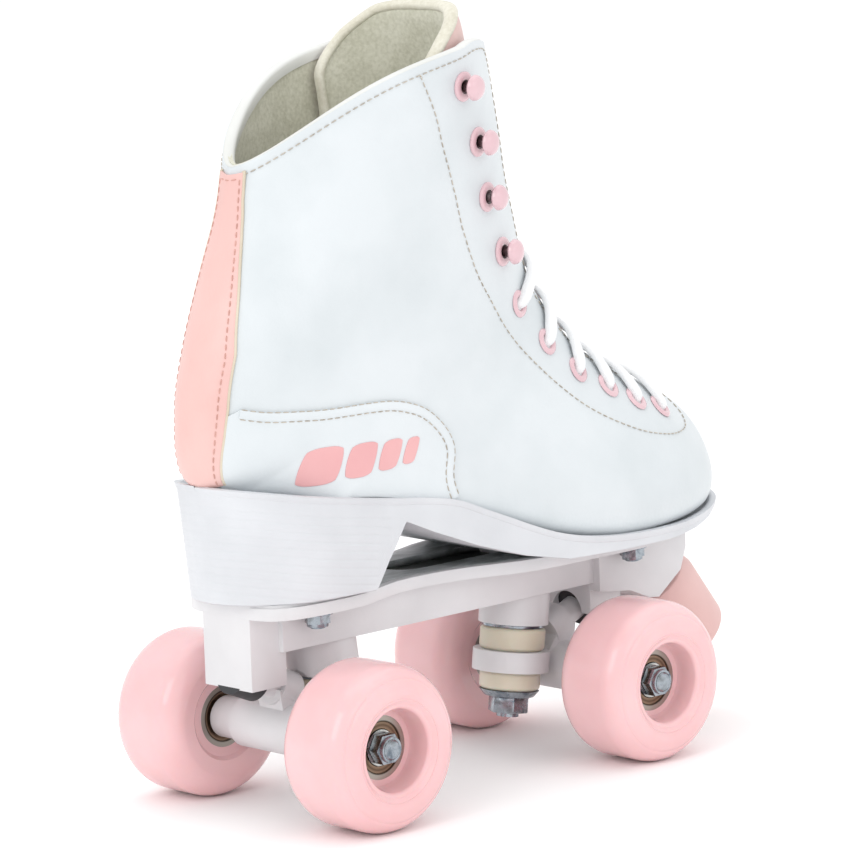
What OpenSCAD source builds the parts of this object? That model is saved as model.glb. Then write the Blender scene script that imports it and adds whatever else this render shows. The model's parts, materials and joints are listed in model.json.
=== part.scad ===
// Quad roller skate, right foot: laced boot, moulded heel and sole, plate, two steering trucks, four wheels.
// +X points to the toe, +Y to the inner side of the foot, +Z up, and the wheels stand on z = 0.

/* [Wheels and bearings] */
// Diameter of each wheel
wheel_d = 58; // [54:1:62]
// Width of each wheel
wheel_w = 32; // [30:1:35]
// Radius of the rounded edges of the tread
wheel_edge_r = 9; // [5:0.5:10]
// Width of the open mouth in the wheel's face
mouth_d = 28.5; // [26:0.5:32]
// How far the mouth's rim stands in from the wheel's widest point
mouth_inset = 1.6; // [0.5:0.1:3]
// Outside diameter of the ball bearings
bearing_d = 22; // [22:1:24]
// Width of the ball bearings
bearing_w = 7; // [6:0.5:8]
// Diameter of the axle
axle_d = 7; // [7:1:8]
// Outer bearing's outer face, from the wheel's middle plane
bearing_out = 6; // [5:0.5:7]
// Inner bearing's inner face, from the wheel's middle plane
bearing_in = 13; // [13:0.5:15]

/* [Trucks] */
// Distance between the two axles
wheelbase = 133.2; // [125:1:165]
// Distance between the middle planes of a pair of wheels
track = 86.5; // [84:0.5:105]
// Height of the cushion ring's centre above the ground
ring_z = 34; // [32:0.5:36]
// Distance from the axle to the cushion ring's centre, towards the middle of the skate
ring_back = 21.7; // [21:0.1:24]
// Distance from the axle to the pivot's centre, towards the end of the skate
pivot_out = 16.8; // [15:0.1:18]
// Height of the pivot's centre above the ground
pivot_z = 50; // [48:0.5:52]
// Lean of the kingpin from upright
kingpin_lean = 7.5; // [5:0.5:10]
// Diameter of the kingpin
kingpin_d = 8; // [8:1:9]
// Thickness of the upper cushion
cushion_top_h = 8.5; // [8:0.5:10]
// Thickness of the lower cushion
cushion_low_h = 7; // [6:0.5:8]
// Diameter of the upper cushion
cushion_top_d = 23.7; // [22:0.1:25]
// Diameter of the lower cushion
cushion_low_d = 22; // [20:0.1:24]

/* [Plate] */
// Height of the plate's top above the ground
plate_top = 76.5; // [75:0.5:80]
// Thickness of the plate's flange
flange_t = 4.3; // [3.5:0.1:6]
// Half width of the plate under the ball of the foot
plate_hw_front = 30; // [29:0.5:34]
// Half width of the plate under the heel
plate_hw_heel = 26; // [25:0.5:29]
// Half width of the plate at the waist
plate_hw_waist = 19; // [17:0.5:24]
// Height of the raised pad that the heel stands on
heel_pad_h = 1; // [0.5:0.1:2]
// Diameter of the four mounting bolts
bolt_d = 5; // [4:1:6]
// Front bolts, distance forward of the front axle
bolt_front_x = 19; // [18:0.5:22]
// Front bolts, distance from the middle of the plate
bolt_front_y = 23; // [22:0.5:25]
// Rear bolts, distance from the middle of the plate
bolt_rear_y = 20; // [19:0.5:21]

/* [Toe stop] */
// Diameter of the toe stop
stop_d = 36; // [30:1:38]
// Length of the toe stop's rubber
stop_l = 33; // [26:1:34]
// Slope of the toe stop below the horizontal
stop_slope = 52; // [48:1:56]
// Toe stop's ground face centre, forward of the front axle
stop_x = 68.8; // [66:0.5:72]
// Toe stop's ground face centre, above the ground
stop_z = 27; // [25:0.5:30]

/* [Boot] */
// Half width of the boot across the ball of the foot
ball_hw = 42; // [38:0.5:46]
// Thickness of the outer material
upper_t = 2; // [1.5:0.1:2.5]
// Thickness of the lining
lining_t = 1.6; // [1.2:0.1:2]
// Thickness of the tongue
tongue_t = 5; // [4:0.5:6]
// Thickness of the sole under the ball of the foot
sole_t = 4.6; // [4:0.1:6]
// Width of the sole's edge beyond the upper
welt = 2.5; // [1.5:0.5:3.5]
// Thickness of the footbed
footbed_t = 3; // [2:0.5:4]
// Thickness of the insole board
board_t = 2; // [1.5:0.5:3]
// Width of the lace
lace_w = 7; // [6:0.5:8]
// Thickness of the lace
lace_t = 1.2; // [1:0.1:1.6]
// Outside diameter of the eyelets
eyelet_d = 10; // [9:0.5:11]
// Diameter of the heads of the lace hooks
hook_d = 9; // [8:0.5:12]

/* [Hidden] */
$fn = 64;

fit = 0.02;       // radial clearance of a pressed or bolted fit
run = 0.05;       // radial clearance of a running fit
gap = 0.3;        // gap between pieces that move past each other
white = "white";
pink = [0.93, 0.68, 0.70];
cream = [0.90, 0.86, 0.74];
zinc = [0.75, 0.76, 0.78];

axle_z = wheel_d / 2;
wheel_y = track / 2;
flange_z = plate_top - flange_t;
kingpin_up = [sin(kingpin_lean), 0, cos(kingpin_lean)];
steer_slope = atan2(pivot_z - ring_z, pivot_out + ring_back);
ring_h = 7.5;
cup_h = 2.4;
king_nut_h = 6;
stack_top = ring_h / 2 + cushion_top_h + cup_h / 2;
stack_low = ring_h / 2 + cushion_low_h + cup_h + king_nut_h;

// Boot stations from the toe to the collar. Each is a slanted section: its low or back end (x, z),
// its high or front end (x, z), half width, bluntness of the two ends, and sideways shift.
stations = [
    [209, 94, 209, 96, 0, .30, .50, 5],
    [206, 87, 206, 107, 15, .20, .50, 5],
    [197, 83, 197, 118, 26, .16, .48, 4],
    [180, 81, 181, 127, 36, .14, .46, 3],
    [157, 80, 164, 134, ball_hw - 0.5, .13, .46, 1],
    [130, 80, 150, 141, ball_hw, .13, .46, 0],
    [98, 86, 137, 150, 38.5, .14, .44, 0],
    [64, 98, 127, 161, 34.5, .16, .40, 0],
    [28, 108, 117, 174, 31.5, .20, .36, 0],
    [-6, 113, 111, 188, 31, .30, .33, 0],
    [-33.8, 119, 106, 202, 31, .46, .31, 0],
    [-38, 141, 102, 216, 31, .50, .30, 0],
    [-32, 164, 99, 230, 32, .50, .30, 0],
    [-24, 187, 95, 244, 33, .53, .30, 0],
    [-17, 207, 91, 257, 34, .57, .30, 0],
    [-13.5, 225, 87, 270, 35, .62, .30, 0],
    [-10, 243, 83, 283, 35, .62, .30, 0]
];
last = len(stations) - 1;
throat_u = 3.4;      // where the lacing slit starts
collar_u = 14.95;    // where the collar ends at the back

function clamp(v, lo, hi) = min(max(v, lo), hi);
function mix(a, b, t) = a + (b - a) * t;
function unit(v) = v / norm(v);
function station(u) =
    let (i = clamp(floor(u), 0, last - 1), t = u - i,
         p1 = stations[i], p2 = stations[i + 1],
         p0 = i == 0 ? 2 * p1 - p2 : stations[i - 1],
         p3 = i == last - 1 ? 2 * p2 - p1 : stations[i + 2])
    0.5 * (2 * p1 + (p2 - p0) * t + (2 * p0 - 5 * p1 + 4 * p2 - p3) * t * t
        + (3 * p1 - p0 - 3 * p2 + p3) * t * t * t);
function peak(k) = let (m = k[5] / (k[5] + k[6])) pow(m, k[5]) * pow(1 - m, k[6]);
// A point of the boot's surface: u along it, s from low or back to high or front, e inwards from the outside.
function boot(u, s, side, e = 0) =
    let (k = station(u), long = norm([k[2] - k[0], k[3] - k[1]]),
         dir = [k[2] - k[0], k[3] - k[1]] / long, cut = e * min(1, long / 30), in = e * min(1, k[4] / 16),
         low = [k[0], k[1]] + dir * cut, high = [k[2], k[3]] - dir * cut,
         q = clamp(s, 0, 1), g = pow(q, k[5]) * pow(1 - q, k[6]) / peak(k),
         p = mix(low, high, s))
    [p[0] - e * max(0, 1 - u / 2), k[7] + side * (k[4] - in) * g, p[1]];
function normal(u, s, side) =
    let (a = boot(u + 0.02, s, side) - boot(u - 0.02, s, side),
         b = boot(u, s + 0.002, side) - boot(u, s - 0.002, side))
    unit(side * cross(a, b));
// The slit's half width and where it cuts a section.
function slit_hw(u) = (12 + clamp(u - 4, 0, 1) + 6 * clamp((u - 8.3) / 4.2, 0, 1)) * sqrt(clamp((u - throat_u) / 0.7, 0, 1));
function front_s(u, y) = let (k = station(u)) 1 - pow(y * peak(k) / max(k[4], 1), 1 / k[6]);
function collar_end(s) = collar_u + 0.45 * sin(180 * clamp(s / 0.78, 0, 1)) - 1.0 * pow(clamp((s - 0.78) / 0.22, 0, 1), 2);

// A wall that follows the boot between two depths, with the slit and the collar left open.
rows = 32;
cols = 26;
module boot_wall(e0, e1) {
    half = cols / 2;
    function q_of(j) = abs(j - half) / half;
    function row_u(i) = collar_u * (i <= 2 ? i * 0.25 : mix(0.5, rows, (i - 2) / (rows - 2))) / rows;
    closed = [for (i = [0:rows]) if (row_u(i) <= throat_u) i];
    shut = len(closed) - 1;
    function spot(i, j, e) =
        let (u = row_u(i), k = station(u), top = front_s(u, slit_hw(u)),
             s = i <= shut && q_of(j) == 1 ? 1 : top * pow(sin(90 * q_of(j)), 1 / k[5]))
        boot(u * collar_end(s) / collar_u, s, j < half ? -1 : 1, e);
    pts = concat([for (i = [0:rows], j = [0:cols]) spot(i, j, e0)], [for (i = [0:rows], j = [0:cols]) spot(i, j, e1)]);
    inner = (rows + 1) * (cols + 1);
    function id(i, j, deep = 0) = deep * inner + (i == 0 ? 0 : i * (cols + 1) + (i <= shut && j == cols ? 0 : j));
    skin = [for (i = [0:rows - 1], j = [0:cols - 1]) [id(i, j), id(i + 1, j), id(i + 1, j + 1), id(i, j + 1)]];
    back = [for (i = [0:rows - 1], j = [0:cols - 1])
        [id(i, j, 1), id(i, j + 1, 1), id(i + 1, j + 1, 1), id(i + 1, j, 1)]];
    collar = [for (j = [0:cols - 1]) [id(rows, j), id(rows, j, 1), id(rows, j + 1, 1), id(rows, j + 1)]];
    slit_a = [for (i = [shut:rows - 1]) [id(i, 0), id(i, 0, 1), id(i + 1, 0, 1), id(i + 1, 0)]];
    slit_b = [for (i = [shut:rows - 1]) [id(i, cols), id(i + 1, cols), id(i + 1, cols, 1), id(i, cols, 1)]];
    quads = concat(skin, back, collar, slit_a, slit_b);
    tris = [for (q = quads) each [[q[0], q[2], q[1]], [q[0], q[3], q[2]]]];
    used = [for (t = tris) if (t[0] != t[1] && t[1] != t[2] && t[0] != t[2]) t];
    polyhedron(pts, used);
}

// A closed sheet from two grids of points, front and back.
module sheet_solid(front, rear) {
    n = len(front) - 1;
    m = len(front[0]) - 1;
    pts = concat([for (r = front) each r], [for (r = rear) each r]);
    function id(i, j, deep) = deep * (n + 1) * (m + 1) + i * (m + 1) + j;
    quads = concat(
        [for (i = [0:n - 1], j = [0:m - 1]) [id(i, j, 0), id(i + 1, j, 0), id(i + 1, j + 1, 0), id(i, j + 1, 0)]],
        [for (i = [0:n - 1], j = [0:m - 1]) [id(i, j, 1), id(i, j + 1, 1), id(i + 1, j + 1, 1), id(i + 1, j, 1)]],
        [for (j = [0:m - 1]) [id(n, j, 0), id(n, j, 1), id(n, j + 1, 1), id(n, j + 1, 0)]],
        [for (j = [0:m - 1]) [id(0, j, 0), id(0, j + 1, 0), id(0, j + 1, 1), id(0, j, 1)]],
        [for (i = [0:n - 1]) [id(i, 0, 0), id(i, 0, 1), id(i + 1, 0, 1), id(i + 1, 0, 0)]],
        [for (i = [0:n - 1]) [id(i, m, 0), id(i + 1, m, 0), id(i + 1, m, 1), id(i, m, 1)]]);
    polyhedron(pts, [for (q = quads) each [[q[0], q[2], q[1]], [q[0], q[3], q[2]]]]);
}

module bolt_holes() {
    for (y = [-1, 1]) translate([wheelbase + bolt_front_x, y * bolt_front_y, 70]) cylinder(r = bolt_d / 2 + fit, h = 30);
}
module upper() { color(white) difference() { boot_wall(0, upper_t); bolt_holes(); } }
module lining() { color(cream) difference() { boot_wall(upper_t + 0.12, upper_t + 0.12 + lining_t); bolt_holes(); } }

// The strip up the back of the boot.
stay_hw = [[9.9, 9], [10.6, 11.8], [11, 12.7], [11.8, 13], [12.6, 11], [13.2, 9.1], [13.8, 7.2], [14.3, 6], [14.85, 5.6]];
stay_t = 1.2;
module backstay() {
    function spot(i, j, e) =
        let (u = mix(9.9, collar_u - 0.1, i / 16), k = station(u), y = lookup(u, stay_hw) * (j / 5 - 1),
             s = pow(abs(y) * peak(k) / k[4], 1 / k[5]))
        boot(u, s, y < 0 ? -1 : 1, e);
    color(pink) sheet_solid([for (i = [0:16]) [for (j = [0:10]) spot(i, j, -stay_t)]],
        [for (i = [0:16]) [for (j = [0:10]) spot(i, j, -0.42)]]);
}

// The stitched patch low on each side of the heel.
patch_top = [[7.34, .07], [7.55, .138], [7.82, .252], [8.18, .318], [8.66, .359], [9.1, .361], [9.47, .344], [9.87, .299],
    [10.29, .223], [10.66, .136], [10.9, .085]];
patch_low = [[7.34, .05], [7.73, .035], [8.06, .03], [8.77, .025], [9.4, .026], [9.79, .03], [10.58, .066], [10.9, .08]];
patch_t = 1.1;
module counter(side) {
    function spot(i, j, e) = let (u = mix(7.34, 10.9, i / 24)) boot(u, mix(lookup(u, patch_low), lookup(u, patch_top), j / 6), side, e);
    outer = [for (i = [0:24]) [for (j = [0:6]) spot(i, side < 0 ? 6 - j : j, -patch_t)]];
    inner = [for (i = [0:24]) [for (j = [0:6]) spot(i, side < 0 ? 6 - j : j, -0.45)]];
    color(white) sheet_solid(outer, inner);
}

// Lace eyelets and hooks stand on the surface, square to it.
eyelet_at = [[3.75, .791], [4.58, .799], [5.4, .812], [6.29, .799], [7.27, .803], [8.34, .827]];
hook_at = [[9.73, .857], [11.16, .841], [12.55, .812], [14.1, .755]];
function eyelet_y(i) = let (k = station(eyelet_at[i][0]), s = eyelet_at[i][1]) k[4] * pow(s, k[5]) * pow(1 - s, k[6]) / peak(k);
module on_boot(at, side, e = 0) {
    n = normal(at[0], at[1], side);
    translate(boot(at[0], at[1], side, e)) rotate([0, acos(n[2]), atan2(n[1], n[0])]) children();
}
module eyelet() {
    rotate_extrude() polygon([
        [2.3, -upper_t - lining_t - 0.6], [4, -upper_t - lining_t - 0.6], [4, -upper_t - lining_t - 0.1], [3, -upper_t],
        [3, 0], [eyelet_d / 2, 0], [eyelet_d / 2 - 0.5, 0.7], [eyelet_d / 2 - 1.5, 1], [2.8, 0.7], [2.3, 0]]);
}
module hook() {
    rotate_extrude() polygon([
        [0, -2.5], [1.5, -2.5], [1.5, 0.05], [5.4, 0.05], [5.4, 0.6], [4.8, 1.2], [2.2, 1.4], [2.2, 4.2],
        [hook_d / 2 - 0.4, 4.5], [hook_d / 2, 5.2], [hook_d / 2 - 0.7, 6.4], [hook_d / 2 - 2.2, 7.3], [0, 7.8]]);
}
module eyelets(side) { color(pink) for (at = eyelet_at) on_boot(at, side, -0.1) eyelet(); }
module hooks(side) { color(pink) for (at = hook_at) on_boot(at, side, -0.1) hook(); }

// The tongue follows the inside of the lining, in two lengths that meet at the flex line.
tongue_e = upper_t + lining_t + 2.2;
tongue_u0 = 3.9;
tongue_flex_u = 8.9;
tongue_u1 = 15.45;
function tongue_wing(u) = 0.1 + 0.26 * sqrt(clamp((u - tongue_u0) / 9, 0, 1));
module tongue(u0, u1, n) {
    function spot(i, j, e) =
        let (u = mix(u0, u1, i / n), q = j / 6 - 1, s = 1 - tongue_wing(u) * pow(abs(q), 1 / station(u)[6]))
        boot(u, s, q < 0 ? -1 : 1, e);
    color(pink) sheet_solid([for (i = [0:n]) [for (j = [12:-1:0]) spot(i, j, tongue_e)]],
        [for (i = [0:n]) [for (j = [12:-1:0]) spot(i, j, tongue_e + tongue_t)]]);
}

// The laced stretch: one ribbon from the bar at the toe end, crossing at each pair of eyelets.
module ribbon(path) {
    n = len(path) - 1;
    function along(i) = unit(path[min(i + 1, n)][0] - path[max(i - 1, 0)][0]);
    function ring(i) = let (p = path[i][0], up = path[i][1], w = unit(cross(up, along(i))) * lace_w / 2, t = up * lace_t / 2)
        [p - w - t * 0.4, p - w * 0.8 - t, p + w * 0.8 - t, p + w - t * 0.4, p + w * 0.8 + t, p - w * 0.8 + t];
    pts = [for (i = [0:n]) each ring(i)];
    sides = [for (i = [0:n - 1], j = [0:5]) let (a = i * 6 + j, b = i * 6 + (j + 1) % 6) [a, b, b + 6, a + 6]];
    polyhedron(pts, concat([for (q = sides) each [[q[0], q[2], q[1]], [q[0], q[3], q[2]]]],
        [for (j = [1:4]) [0, j, j + 1]], [for (j = [1:4]) [n * 6, n * 6 + j + 1, n * 6 + j]]));
}
function crossing(i0, i1, side, lift) = [for (i = [0:10])
    let (t = i / 10, u = mix(eyelet_at[i0][0], eyelet_at[i1][0], t),
         y = mix(1 - eyelet_y(i0), eyelet_y(i1) - 1, t), sd = y < 0 ? -1 : 1,
         s = front_s(u, abs(y)), n = normal(u, min(s, 0.985), sd), m = unit([n[0], side * n[1], n[2]]),
         p = boot(u, s, sd))
    [[p[0], side * p[1], p[2]] + m * (3.2 + lift * sin(180 * t)), m]];
module lace() {
    color(white) {
        ribbon(crossing(0, 0, 1, 1.4));
        for (i = [0:len(eyelet_at) - 2]) {
            ribbon(crossing(i, i + 1, 1, 2.2));
            ribbon(crossing(i, i + 1, -1, 3.8));
        }
    }
}

// Outline of the sole in plan: x, half width, sideways shift.
sole_plan = [
    [-35.6, 6, 0], [-31.6, 16, 0], [-22, 25.6, 0], [-6, 31.8, 0], [30, 33.4, 0], [64, 35, 0],
    [98, 40, 0], [130, ball_hw + welt, 0], [157, ball_hw + welt - 1, 1], [180, 37.5, 3], [197, 28, 4], [206.5, 15.5, 5], [210, 5, 5]
];
function spline(p, t) =
    let (n = len(p) - 1, i = clamp(floor(t), 0, n - 1), f = t - i, a = p[max(i - 1, 0)], b = p[i], c = p[i + 1], d = p[min(i + 2, n)])
    0.5 * (2 * b + (c - a) * f + (2 * a - 5 * b + 4 * c - d) * f * f + (3 * b - a - 3 * c + d) * f * f * f);
plan_n = len(sole_plan) - 1;
module sole_outline(inset = 0) {
    mid = 87;
    squeeze = 1 - inset / 125;
    pts = [for (i = [0:48]) spline(sole_plan, i * plan_n / 48)];
    polygon(concat([for (p = pts) [mid + (p[0] - mid) * squeeze, p[2] - max(p[1] - inset, 1)]],
        [for (i = [48:-1:0]) let (p = pts[i]) [mid + (p[0] - mid) * squeeze, p[2] + max(p[1] - inset, 1)]]));
}
// Height of the sole's top along the boot.
seat = [[-40, 117.2], [-24, 114.9], [-6, 112.5], [28, 107.7], [64, 97.3], [98, 85.9], [130, 79.9], [157, 79.9], [180, 80.9], [197, 82.5], [214, 85]];
module along_side() { translate([0, 70, 0]) rotate([90, 0, 0]) linear_extrude(140) children(); }
heel_z = plate_top + heel_pad_h;
breast_top = [31, 100];
module sole_profile() {
    top = [for (i = [0:50]) spline(seat, i * (len(seat) - 1) / 50)];
    polygon(concat(top, [[214, 82], [204, 78.5], [190, plate_top], [104, plate_top], [85, plate_top + 3.8],
        [64, plate_top + 10.3], [44, plate_top + 18], breast_top, [19.5, heel_z], [-27, heel_z], [-40, 116]]));
}
module mount_bolt_spots() {
    for (y = [-1, 1]) {
        translate([wheelbase + bolt_front_x, y * bolt_front_y, 0]) children(0);
        translate([0, y * bolt_rear_y, 0]) children(1);
    }
}
module outsole_heel() {
    color(white) difference() {
        intersection() {
            linear_extrude(130) sole_outline();
            along_side() sole_profile();
        }
        mount_bolt_spots() {
            cylinder(r = bolt_d / 2 + fit, h = 200);
            cylinder(r = bolt_d / 2 + fit, h = stud_top + 0.1);
        }
    }
}
// A flexible layer inside the boot, between two heights above the seat.
insole_plan = [
    [-22.5, 4, 0], [-19.5, 9, 0], [-9, 12.6, 0], [4, 15.2, 0], [28, 18.9, 0], [64, 23.6, 0], [98, 28.6, 0],
    [130, 33.4, 0], [157, 33.4, 1], [180, 28.2, 3], [194, 20, 4], [199, 12, 4], [201, 4, 4]
];
module seat_layer(low, high) {
    top = [for (i = [0:50]) spline(seat, i * (len(seat) - 1) / 50)];
    plan = [for (i = [0:48]) spline(insole_plan, i * (len(insole_plan) - 1) / 48)];
    intersection() {
        linear_extrude(160) polygon(concat([for (p = plan) [p[0], p[2] - p[1]]], [for (i = [48:-1:0]) [plan[i][0], plan[i][2] + plan[i][1]]]));
        along_side() polygon(concat([for (p = top) p + [0, high]], [for (i = [len(top) - 1:-1:0]) top[i] + [0, low]]));
    }
}
inside_z = upper_t + lining_t + 3.2;
module insole_board() {
    color([0.72, 0.62, 0.5]) difference() {
        seat_layer(inside_z, inside_z + board_t);
        bolt_holes();
    }
}
head_h = 2;
module footbed() { color(cream) seat_layer(inside_z + board_t + head_h + 0.7, inside_z + board_t + head_h + 0.7 + footbed_t); }
bolt_front_top = 80.1 + inside_z + board_t;
stud_top = 98;      // the rear pair are studs set in the heel block
nut_h = 5;
module shank(top) { translate([0, 0, flange_z - nut_h - 0.6]) cylinder(r = bolt_d / 2, h = top - flange_z + nut_h + 0.6); }
module mounting_bolts() {
    color(zinc) mount_bolt_spots() {
        union() {
            shank(bolt_front_top + 0.1);
            translate([0, 0, bolt_front_top]) cylinder(r = bolt_d * 0.95, h = head_h);
        }
        shank(stud_top);
    }
}
module mount_nut() {
    translate([0, 0, flange_z - nut_h]) difference() {
        union() {
            translate([0, 0, 1.2]) cylinder(d = 9.2, h = nut_h - 1.8, $fn = 6);
            cylinder(d = 7.4, h = 1.3);
            translate([0, 0, nut_h - 0.7]) cylinder(d = 11, h = 0.7);
        }
        translate([0, 0, -1]) cylinder(r = bolt_d / 2 + fit, h = nut_h + 2);
    }
}
module mounting_nuts() {
    color(zinc) mount_bolt_spots() {
        mount_nut();
        mount_nut();
    }
}

// Places a truck's own pieces: the front one as drawn, the rear one turned end for end.
module front_place() { translate([wheelbase, 0, 0]) children(); }
module rear_place() { mirror([1, 0, 0]) children(); }
module on_kingpin() { translate([-ring_back, 0, ring_z]) rotate([0, kingpin_lean, 0]) children(); }
module on_steer() { translate([pivot_out, 0, pivot_z]) rotate([0, 90 - steer_slope, 0]) children(); }

pivot_r = 4.5;
cup_r = 7.5;
cup_l = 11;
boss_r = 12.7;
spine_hw = 14;
spine_z = 59;
nose_hw = 17;
module truck_mount() {
    difference() {
        union() {
            on_kingpin() translate([0, 0, stack_top]) cylinder(r = boss_r, h = 27);
            translate([pivot_out - 9, -12, pivot_z - 3]) cube([16, 24, flange_z - pivot_z + 4]);
            translate([-ring_back - 6, -spine_hw, spine_z]) cube([ring_back + pivot_out, 2 * spine_hw, flange_z - spine_z + 1]);
        }
        on_steer() translate([0, 0, -cup_l - 14]) cylinder(r = cup_r + fit, h = cup_l + 14 + cup_l / 2);
        translate([-60, -60, plate_top - 0.01]) cube([120, 120, 40]);
    }
}
plate_plan = [
    [-24, 14, 0], [-20, 22, 0], [-8, 26, 0], [16, 26, 0], [40, 19, 0], [66, 20, 0], [96, 29, 0],
    [125, 30, 0], [150, 30, 0], [168, 27, 0], [177, 20, 0], [180, 10, 0]
];
module plate_outline(inset = 0) {
    n = len(plate_plan) - 1;
    function hw(p) = p[1] * (p[0] < 28 ? plate_hw_heel / 26 : p[0] < 80 ? plate_hw_waist / 19 : plate_hw_front / 30);
    pts = [for (i = [0:36]) spline(plate_plan, i * n / 36)];
    polygon(concat([for (p = pts) [p[0], -hw(p) + inset]], [for (i = [36:-1:0]) [pts[i][0], hw(pts[i]) - inset]]));
}
stop_dir = [cos(stop_slope), 0, -sin(stop_slope)];
module on_stop() { translate([wheelbase + stop_x, 0, stop_z]) rotate([0, stop_slope + 90, 0]) children(); }
stem_d = 8;
module plate() {
    color(white) difference() {
        union() {
            translate([0, 0, flange_z]) linear_extrude(flange_t) plate_outline();
            translate([0, 0, plate_top - 0.5]) linear_extrude(heel_pad_h + 0.5)
                intersection() { plate_outline(1.5); translate([-40, -40]) square([60, 80]); }
            front_place() truck_mount();
            rear_place() truck_mount();
            translate([20, -spine_hw, spine_z]) cube([wheelbase - 40, 2 * spine_hw, flange_z - spine_z + 1]);
            translate([0, nose_hw, 0]) rotate([90, 0, 0]) linear_extrude(2 * nose_hw) polygon([
                [wheelbase + 8, flange_z + 1], [wheelbase + 8, 56], [wheelbase + 24, 54], [wheelbase + 34, 49.8],
                [wheelbase + 39, 49.2], [wheelbase + 51, 57.6], [wheelbase + 54, 66], [wheelbase + 54, flange_z + 1]]);
            on_stop() translate([0, 0, -stop_l - 24]) cylinder(r = 12, h = 24);
        }
        mount_bolt_spots() {
            cylinder(r = bolt_d / 2 + fit, h = 200);
            cylinder(r = bolt_d / 2 + fit, h = 200);
        }
        // The oblong recess in the top and the hollow under the spine.
        translate([60, 0, plate_top - 2.5]) linear_extrude(10)
            for (x = [0, 36]) translate([x, 0]) circle(r = 9);
        translate([60, -9, plate_top - 2.5]) cube([36, 18, 10]);
        translate([34, -spine_hw + 3, spine_z - 1]) cube([wheelbase - 68, 2 * spine_hw - 6, flange_z - spine_z - 1]);
        on_stop() translate([0, 0, -stop_l - 24.1]) cylinder(r = stem_d / 2 + fit, h = 40);
        translate([wheelbase, 0, 0]) on_steer() translate([0, 0, -cup_l - 14]) cylinder(r = cup_r + fit, h = cup_l + 14 + cup_l / 2);
        front_place() on_kingpin() cylinder(r = kingpin_d / 2 + fit, h = stack_top + 20.1);
        rear_place() on_kingpin() cylinder(r = kingpin_d / 2 + fit, h = stack_top + 20.1);
        translate([-50, -50, plate_top + heel_pad_h]) cube([300, 100, 50]);
        translate([25, -50, plate_top]) cube([200, 100, 50]);
    }
}

module kingpin() {
    on_kingpin() {
        translate([0, 0, -stack_low - 1.5]) cylinder(d = kingpin_d, h = stack_low + stack_top + 21.5);
    }
}
module ring_cushion(d, h, r) {
    rotate_extrude() polygon([
        [kingpin_d / 2 + 0.3, 0], [d / 2 - r, 0], [d / 2, r], [d / 2, h - r], [d / 2 - r, h], [kingpin_d / 2 + 0.3, h]]);
}
module cushion_upper() { color(cream) on_kingpin() translate([0, 0, ring_h / 2 + 0.05]) ring_cushion(cushion_top_d, cushion_top_h - 0.1, 1); }
module cushion_lower() { color(cream) on_kingpin() translate([0, 0, -ring_h / 2 - cushion_low_h + 0.05]) ring_cushion(cushion_low_d, cushion_low_h - 0.1, 1); }
module cup_washers() {
    color(zinc) on_kingpin() {
        translate([0, 0, stack_top - cup_h / 2]) difference() {
            cylinder(d = cushion_top_d - 1, h = cup_h / 2);
            translate([0, 0, -1]) cylinder(r = kingpin_d / 2 + fit, h = cup_h + 2);
        }
        translate([0, 0, -ring_h / 2 - cushion_low_h - cup_h]) difference() {
            cylinder(d1 = cushion_low_d - 4, d2 = cushion_low_d, h = cup_h);
            translate([0, 0, -1]) cylinder(r = kingpin_d / 2 + fit, h = cup_h + 2);
        }
    }
}
module kingpin_nut() {
    color(zinc) on_kingpin() translate([0, 0, -stack_low]) difference() {
        cylinder(d = 15, h = king_nut_h, $fn = 6);
        translate([0, 0, -1]) cylinder(r = kingpin_d / 2 + fit, h = king_nut_h + 2);
    }
}
module pivot_cup() {
    color([0.25, 0.25, 0.27]) on_steer() difference() {
        translate([0, 0, -cup_l / 2]) cylinder(r = cup_r, h = cup_l);
        translate([0, 0, -cup_l]) cylinder(r = pivot_r + run, h = cup_l);
        sphere(r = pivot_r + run);
    }
}

sleeve_d = 14.6;
sleeve_hl = wheel_y - bearing_in - 0.6;
module hanger() {
    reach = norm([pivot_out + ring_back, pivot_z - ring_z]);
    color(white) difference() {
        union() {
            translate([0, 0, axle_z]) rotate([90, 0, 0]) {
                cylinder(d = sleeve_d, h = 2 * sleeve_hl, center = true);
                cylinder(d = sleeve_d + 3.4, h = 36, center = true);
            }
            on_kingpin() translate([0, 0, -ring_h / 2]) cylinder(r = 14, h = ring_h);
            on_steer() {
                sphere(r = pivot_r);
                translate([0, 0, -reach * 0.45]) cylinder(r = pivot_r, h = reach * 0.45);
                translate([0, 0, -reach * 0.45 - 4]) cylinder(r = pivot_r + 2.2, h = 9);
            }
            translate([0, 6, 0]) rotate([90, 0, 0]) linear_extrude(12) polygon([
                [-ring_back + 9, ring_z - 3.5], [-2, axle_z - 4], [4, axle_z + 2], [6, axle_z + 15], [-2, axle_z + 14],
                [-ring_back + 13.4, ring_z + 1.4], [-ring_back + 9, ring_z + 1.8]]);
        }
        translate([0, 0, axle_z]) rotate([90, 0, 0]) cylinder(r = axle_d / 2 + fit, h = 200, center = true);
        on_kingpin() cylinder(r = kingpin_d / 2 + 2.6, h = 40, center = true);
    }
}
axle_end = 12.1;
module across(y) { translate([0, y, axle_z]) rotate([-90, 0, 0]) children(); }
module both_ends() { children(); mirror([0, 1, 0]) children(); }
module axle() {
    color(zinc) across(-wheel_y - axle_end + 0.5) union() {
        cylinder(d = axle_d, h = track + 2 * axle_end - 1);
        translate([0, 0, -0.5]) cylinder(d1 = axle_d - 1, d2 = axle_d, h = 0.5);
        translate([0, 0, track + 2 * axle_end - 1]) cylinder(d1 = axle_d, d2 = axle_d - 1, h = 0.5);
    }
}
axle_nut_h = 5.4;
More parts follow.
